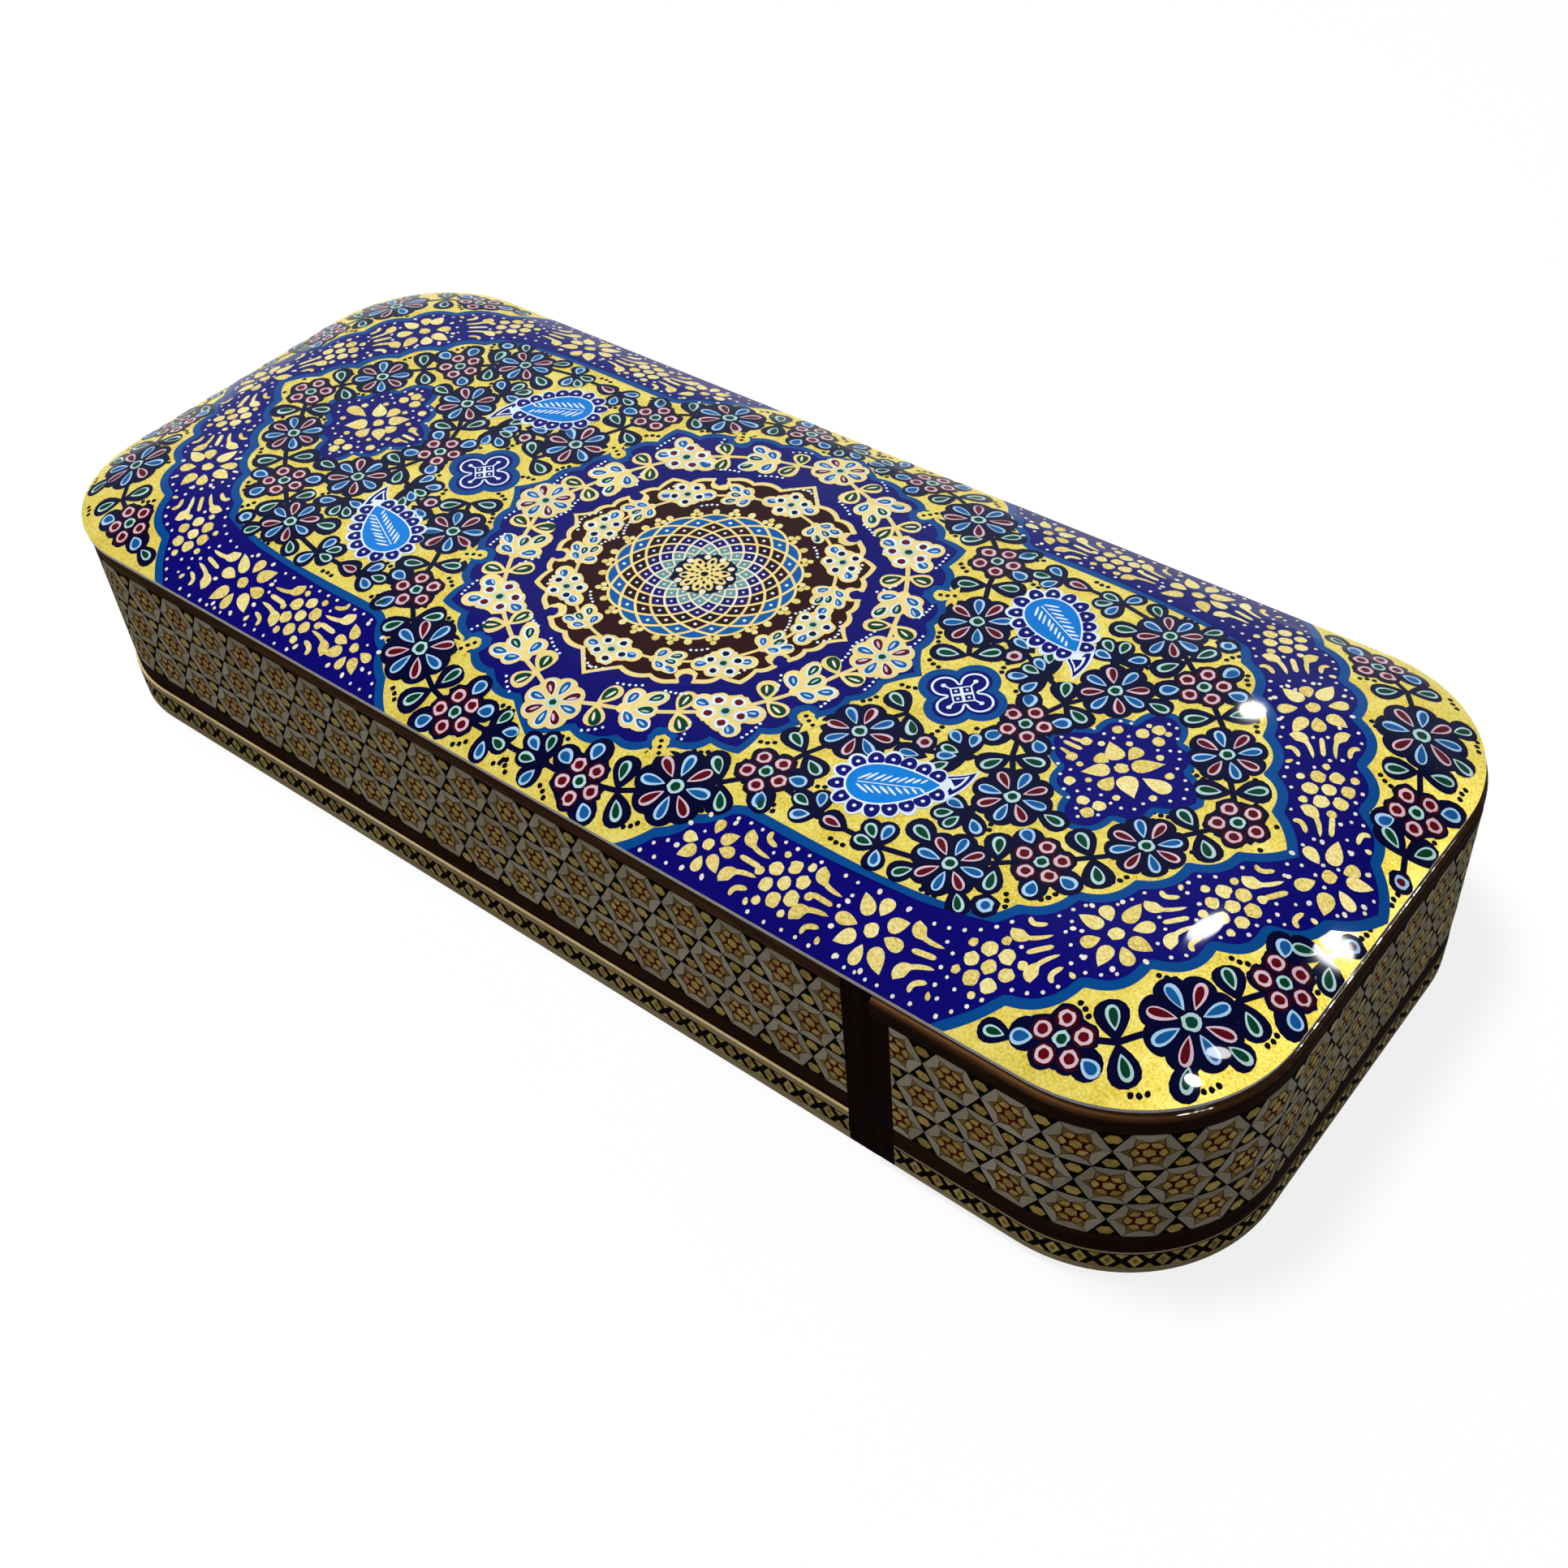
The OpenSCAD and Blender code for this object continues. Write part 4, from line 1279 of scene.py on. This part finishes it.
def star(degrees, radius):
    # angles in degrees with their radii, as plan points
    return polar(np.radians(np.asarray(degrees, float)), np.asarray(radius))


def hexagonTiles(size):
    # templates of one hexagon and of the two triangles beside it: (finish, points, triangles)
    seam, out, dip = khatam["seam"], khatam["starOut"], khatam["starIn"]
    tiles = []
    for turn in range(0, 360, 60):
        rim = star([turn, turn + 60], [size, size])
        inner = star([turn + 60, turn + 30, turn], size * np.array([out, dip, out]))
        bone = np.concatenate([rim[:1], rim.mean(0)[None], rim[1:], inner])
        tiles.append(("bone", shrunk(bone, seam), [(0, 1, 4), (0, 4, 5), (1, 2, 3), (1, 3, 4)]))
        under = star([turn + 30, turn, turn - 30], size * np.array([dip, out, dip]))
        tiles.append(("redUnder", np.concatenate([[[0, 0]], under]), [(0, 1, 2), (0, 2, 3)]))
        reach = size * np.array([0.25, 0.37, 0.46, 0.52, 0.46, 0.37])
        rod = star(turn + np.array([0, 23, 25, 0, -25, -23]), reach)
        tiles.append(("brass", rod, [(0, 1, 2), (0, 2, 3), (0, 3, 4), (0, 4, 5)]))
        point = star(turn + np.array([0, 26.5, 0, -26.5]), size * np.array([0.56, 0.5, 0.75, 0.5]))
        tiles.append(("olive", point, [(0, 1, 2), (0, 2, 3)]))
    heart = star(np.arange(30, 390, 60), np.full(6, size * khatam["heart"]))
    hexagon = [(0, 1, 2), (0, 2, 3), (0, 3, 4), (0, 4, 5)]
    tiles.append(("brass", heart, hexagon))
    for hand in (1, -1):
        corner = np.array([[size, 0], [size * 1.5, hand * size * 0.866], [size * 0.5, hand * size * 0.866]])
        middle = corner.mean(0)
        rim = shrunk(np.stack([corner, (corner + np.roll(corner, -1, 0)) / 2], 1).reshape(-1, 2), seam)
        fanned = np.concatenate([middle[None], rim])
        tiles.append(("ebony", fanned, [(0, 1 + j, 1 + (j + 1) % 6) for j in range(6)]))
        spot = star(np.arange(0, 360, 60), np.full(6, size * khatam["spot"])) * (1.12, 0.95)
        tiles.append(("brassTop", middle + spot, hexagon))
    return tiles


def borderTiles(pitch, height):
    # brass lozenges in a row, with small brass triangles along both edges between them, on black
    black = np.array([[0, 0], [pitch, 0], [pitch, height], [0, height]])
    lozenge = np.array([[-0.3 * pitch, 0], [0, -0.47 * height], [0.3 * pitch, 0], [0, 0.47 * height]])
    slim = np.array([[-0.1 * pitch, 0], [0, -0.19 * height], [0.1 * pitch, 0], [0, 0.19 * height]])
    tiles = [("ebony", black, [(0, 1, 2), (0, 2, 3)])]
    tiles.append(("brass", shrunk(lozenge, 0.06) + (0, height / 2), [(0, 1, 2), (0, 2, 3)]))
    tiles.append(("oliveTop", slim + (0, height / 2), [(0, 1, 2), (0, 2, 3)]))
    for foot, way in ((0.04 * height, 1), (0.96 * height, -1)):
        wedge = np.array([[-0.24 * pitch, 0], [0.24 * pitch, 0], [0, 0.3 * height * way]])
        tiles.append(("brass", wedge + (pitch / 2, foot), [(0, 1, 2)]))
    return tiles


def setTiles(heap, tiles, centres, limit, span, wall, radius):
    # every template at every centre at once, cut off at the wall's two ends
    for finish, shape, triangles in tiles:
        count = len(shape)
        spots = centres[:, None, :] + shape[None] + 0.025 * rng.standard_normal((len(centres), count, 2))
        along = np.clip(spots[..., 0].ravel(), 0.05, limit - 0.05)
        up = np.clip(spots[..., 1].ravel(), *span)
        share = 1.6 if finish.endswith("Top") else 0.6 if finish in ("ebony", "redUnder") else 1.0
        points, normals = wallPlace(along, up, khatam["lift"] * share, radius, wall["start"], wall["side"])
        faces = (np.arange(len(centres))[:, None, None] * count + np.array(triangles)[None]).reshape(-1, 3)
        a, b, c = (points[faces[:, j]] for j in range(3))
        cross = np.cross(b - a, c - a)
        facing = np.einsum("ij,ij->i", cross, normals[faces[:, 0]])
        faces = np.where(facing[:, None] < 0, faces[:, ::-1], faces)[np.abs(facing) > 1e-3]
        tones = np.repeat(rng.random(len(centres)), count)
        name = {"brassTop": "brass", "oliveTop": "olive", "redUnder": "redWood"}.get(finish, finish)
        heap.setdefault(name, []).append((points, faces, normals, tones))


def layKhatam(body, wall):
    # three rows of hexagons, the middle one half a pitch on, then the border below; one piece a finish
    size = wall["pitch"] / 2
    rows = 3
    rise = (wall["high"] - wall["low"]) / rows
    limit = wallLength(wall["radius"], wall["start"], wall["side"])
    heap = {}
    tiles = [(f, s * (1, rise / (size * 1.732)), t) for f, s, t in hexagonTiles(size)]
    for row in range(rows):
        first = wall["first"] + (size if row == 1 else 0) - wall["pitch"]
        along = np.arange(first, limit + wall["pitch"], wall["pitch"])
        centres = np.column_stack([along, np.full(len(along), wall["low"] + rise * (row + 0.5))])
        span = wall["low"] + 0.05, wall["high"] - 0.05
        setTiles(heap, tiles, centres, limit, span, wall, wall["radius"])
    limit = wallLength(wall["edgeRadius"], wall["start"], wall["side"])
    along = np.arange(-khatam["border"], limit + khatam["border"], khatam["border"])
    centres = np.column_stack([along, np.full(len(along), wall["edgeLow"])])
    borders = borderTiles(khatam["border"], wall["edgeHigh"] - wall["edgeLow"])
    span = wall["edgeLow"] + 0.03, wall["edgeHigh"] - 0.03
    setTiles(heap, borders, centres, limit, span, wall, wall["edgeRadius"])
    for finish, parts in heap.items():
        points, faces, normals, tones = joined(parts)
        makePiece(f"khatam_{finish}_{body}", points, faces, finish, body, normals, tones)
        print("khatam", body, finish, len(faces), "triangles")


for body, wall in walls.items():
    layKhatam(body, wall)


# Felt linings: flat sheets with rounded edges and a slightly uneven nap, in millimetres
felt = {"under": 0.02, "foot": 0.03, "short": 0.12, "round": 0.6, "swell": 0.05, "fuzz": 0.03}


def layFelt(node, along=150, across=70):
    # the plan's half width by length, times a share across; height rounds off near the edge
    low, high = boxOf(node)
    tail = abs(low[0]) > flatX
    bendR = high[1] - flatY
    u = (1 - np.cos(np.linspace(0, np.pi, along))) / 2
    v = np.sin(np.linspace(-np.pi / 2, np.pi / 2, across))
    x = low[0] + (high[0] - low[0]) * u
    past = np.maximum((-x if tail else x) - flatX, 0)
    wide = flatY + np.sqrt(np.maximum(bendR**2 - past**2, 0))
    gridX = np.repeat(x[:, None], across, 1)
    gridY = wide[:, None] * v[None]
    fromEnd = np.minimum(gridX - low[0], high[0] - gridX)
    fromEdge = np.minimum(fromEnd, wide[:, None] - np.abs(gridY))
    thick = high[2] - low[2]
    swell = np.sin(gridX * 0.31 + 1.3 * np.sin(gridY * 0.17))
    nap = felt["swell"] * swell + felt["fuzz"] * rng.standard_normal(gridX.shape)
    rise = 1 - (1 - np.clip(fromEdge / felt["round"], 0, 1)) ** 2
    top = low[2] + felt["foot"] + (thick - felt["short"] + nap) * np.sqrt(rise)
    points = np.stack([gridX, gridY, top], -1).reshape(-1, 3)
    under = np.stack([gridX, gridY, np.full_like(top, low[2] + felt["under"])], -1).reshape(-1, 3)
    faces = gridFaces(along, across)
    count = len(points)
    index = np.arange(count).reshape(along, across)
    loop = np.concatenate([index[:, 0], index[-1, 1:], index[::-1, -1][1:], index[0, ::-1][1:-1]])
    after = np.roll(loop, -1)
    upper = np.column_stack([loop, after, after + count])
    lower = np.column_stack([loop, after + count, loop + count])
    wall = np.concatenate([upper, lower])
    everything = np.concatenate([points, under])
    a, b, c = (everything[faces[:, j]] for j in range(3))
    upwards = np.cross(b - a, c - a)[:, 2].sum() > 0
    topFaces = faces if upwards else faces[:, ::-1]
    wall = wall[:, ::-1] if upwards else wall
    shell = np.concatenate([topFaces, topFaces[:, ::-1] + count, wall])
    piece = makePiece(node + "_felt", everything, shell, "felt", "drawer")
    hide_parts(node)
    area = np.trapz(2 * wide, x) * mm * mm


for node in ("pen_lining", "ink_lining"):
    layFelt(node)
print("felt laid")


# Finishes of the CAD nodes
nodeFinish = {
    "gesso": ["painted_sheet"],
    "plainWood": [
        "top_board", "case_floor", "case_front_wall", "case_rear_wall", "case_tail_wall", "tray_floor",
        "tray_front_wall", "tray_rear_wall", "tray_tail_wall", "tray_divider", "head_core", "head_base",
    ],
    "walnutPost": ["front_end_post", "rear_end_post", "head_front_stile", "head_rear_stile"],
    "walnut": ["upper_band_front", "upper_band_rear", "upper_band_tail"], "walnutRim": ["head_rim"],
    "walnutDark": ["lower_band_front", "lower_band_rear", "lower_band_tail", "head_lower_band"],
    "paleWood": ["plinth_top_strip", "plinth_foot_strip", "head_top_line", "head_foot_strip"],
    "glue": [
        "khatam_front", "khatam_rear", "khatam_tail", "plinth_border", "head_khatam", "head_border",
    ],
    "felt": ["pen_lining", "ink_lining"],
}
for finish, nodes in nodeFinish.items():
    for node in nodes:
        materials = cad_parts[node].data.materials
        materials.clear()
        materials.append(finishes[finish])
print("nodes finished:", sum(len(nodes) for nodes in nodeFinish.values()))


# Floor, lamps and sky
studio = {
    "floor": (108, 108, 110), "half": 3000, "white": 0.85, "window": (-0.552, 0.803, 0.221),
    "sky": [
        (0.0, (1, 1, 1)), (0.03, (0.4, 0.4, 0.42)), (0.08, (0.1, 0.1, 0.12)), (0.36, (0.09, 0.09, 0.11)),
        (0.48, (0.26, 0.28, 0.32)), (0.56, (0.22, 0.24, 0.27)), (0.66, (0.05, 0.05, 0.06)),
    ],
    "pane": [(0.55, (0, 0, 0)), (0.95, (0.36, 0.42, 0.52))],
    "lamps": [  # name, spot on the box, way to the lamp, distance, size, roll and power
        ("key", (126.7, -43.0, 44.4), (0.32, 0.11, 0.94), 2.0, (0.11, 0.16), 0, 8.0),
        ("fill", (0.0, 0.0, 40.0), (-0.2, -0.07, 0.97), 2.0, (0.5, 0.5), 0, 38.0),
        ("glintA", (98.7, 23.1, 49.3), (-0.30, 0.68, 0.67), 1.0, (0.017, 0.010), 0, 0.035),
        ("glintB", (115.5, -20.4, 48.7), (-0.07, 0.60, 0.79), 1.0, (0.1, 0.022), 0, 0.25),
        ("glintC", (131.5, -10.8, 44.5), (0.37, 0.63, 0.69), 1.0, (0.17, 0.02), 41, 0.4),
        ("glintD", (127.3, -37.3, 45.3), (0.32, 0.30, 0.90), 1.0, (0.06, 0.12), 0, 0.6),
        ("rimShine", (135.0, -10.0, 41.2), (0.58, 0.624, 0.51), 1.0, (0.2, 0.2), 0, 4.5),
        ("cornerShine", (129.1, -46.3, 41.2), (0.68, -0.21, 0.7), 1.0, (0.26, 0.26), 0, 8.0),
    ],
}


def floorRecipe(wire):
    # one pale colour with a little dust
    dust = cloud(wire, objectPlace(wire), 40, 2)
    base = between(wire, dust, tint(*studio["floor"]), tint(*studio["floor"], 1.03))
    return {"Base Color": base, "Roughness": dust * 0.1 + 0.7}


def makeFloor():
    # a square that keeps the box's shadow, with white added to what the camera and the lacquer see
    points = studio["half"] * np.array([[-1, -1, 0], [1, -1, 0], [1, 1, 0], [-1, 1, 0]])
    finishes["floor"] = makeFinish("studio_floor", floorRecipe, {"Specular IOR Level": 0.0})
    tree = finishes["floor"].node_tree
    shader = tree.nodes["Principled BSDF"]
    wire = Wire(tree)
    rays = ("Is Camera Ray", "Is Glossy Ray", "Is Transmission Ray")
    seen = sum(wire.node("ShaderNodeLightPath", {}, {}, ray) for ray in rays)
    glow = wire.node("ShaderNodeEmission", {}, {"Color": (1, 1, 1, 1), "Strength": seen * studio["white"]})
    both = wire.node("ShaderNodeAddShader", {}, {0: Wire(tree, shader.outputs[0]), 1: glow})
    tree.links.new(both.socket, tree.nodes["Material Output"].inputs["Surface"])
    makePiece("floor", points, np.array([[0, 1, 2], [0, 2, 3]]), "floor", None)


def makeLamps():
    # each lamp stands off its spot by its distance and looks back at it; only the fill lights what
    # it falls on, and the others are only mirrored
    for name, spot, way, far, size, roll, power in studio["lamps"]:
        lamp = bpy.data.lights.new(name, "AREA")
        lamp.shape = "ELLIPSE"
        lamp.size, lamp.size_y = size
        lamp.energy = power
        stand = bpy.data.objects.new(name, lamp)
        bpy.context.scene.collection.objects.link(stand)
        stand.location = Vector(spot) * mm + Vector(way).normalized() * far
        aim = (-Vector(way)).to_track_quat("-Z", "Y") @ Quaternion((0, 0, 1), math.radians(roll))
        stand.rotation_euler = aim.to_euler()
        stand.visible_camera = False
        stand.visible_glossy = name != "fill"
        stand.visible_diffuse = name == "fill"


def makeSky():
    # light read from the ray's height, and a pale window where the ray nears one direction
    world = bpy.data.worlds.new("sky")
    world.use_nodes = True
    bpy.context.scene.world = world
    tree = world.node_tree
    wire = Wire(tree)
    ray = wire.node("ShaderNodeTexCoord", {}, {}, "Generated")
    height = wire.node("ShaderNodeSeparateXYZ", {}, {"Vector": ray}, "Z")
    skyStops, paneStops = ([(spot, (*light, 1)) for spot, light in studio[key]] for key in ("sky", "pane"))
    towards = {0: ray, 1: studio["window"]}
    near = wire.node("ShaderNodeVectorMath", {"operation": "DOT_PRODUCT"}, towards, "Value")
    layers = {0: 1.0, 6: ramp(wire, height, skyStops), 7: ramp(wire, near, paneStops)}
    sky = wire.node("ShaderNodeMix", {"data_type": "RGBA", "blend_type": "ADD"}, layers, 2)
    tree.links.new(sky.socket, tree.nodes["Background"].inputs["Color"])


makeFloor()
makeLamps()
makeSky()
print("studio lit:", len(studio["lamps"]), "lamps")
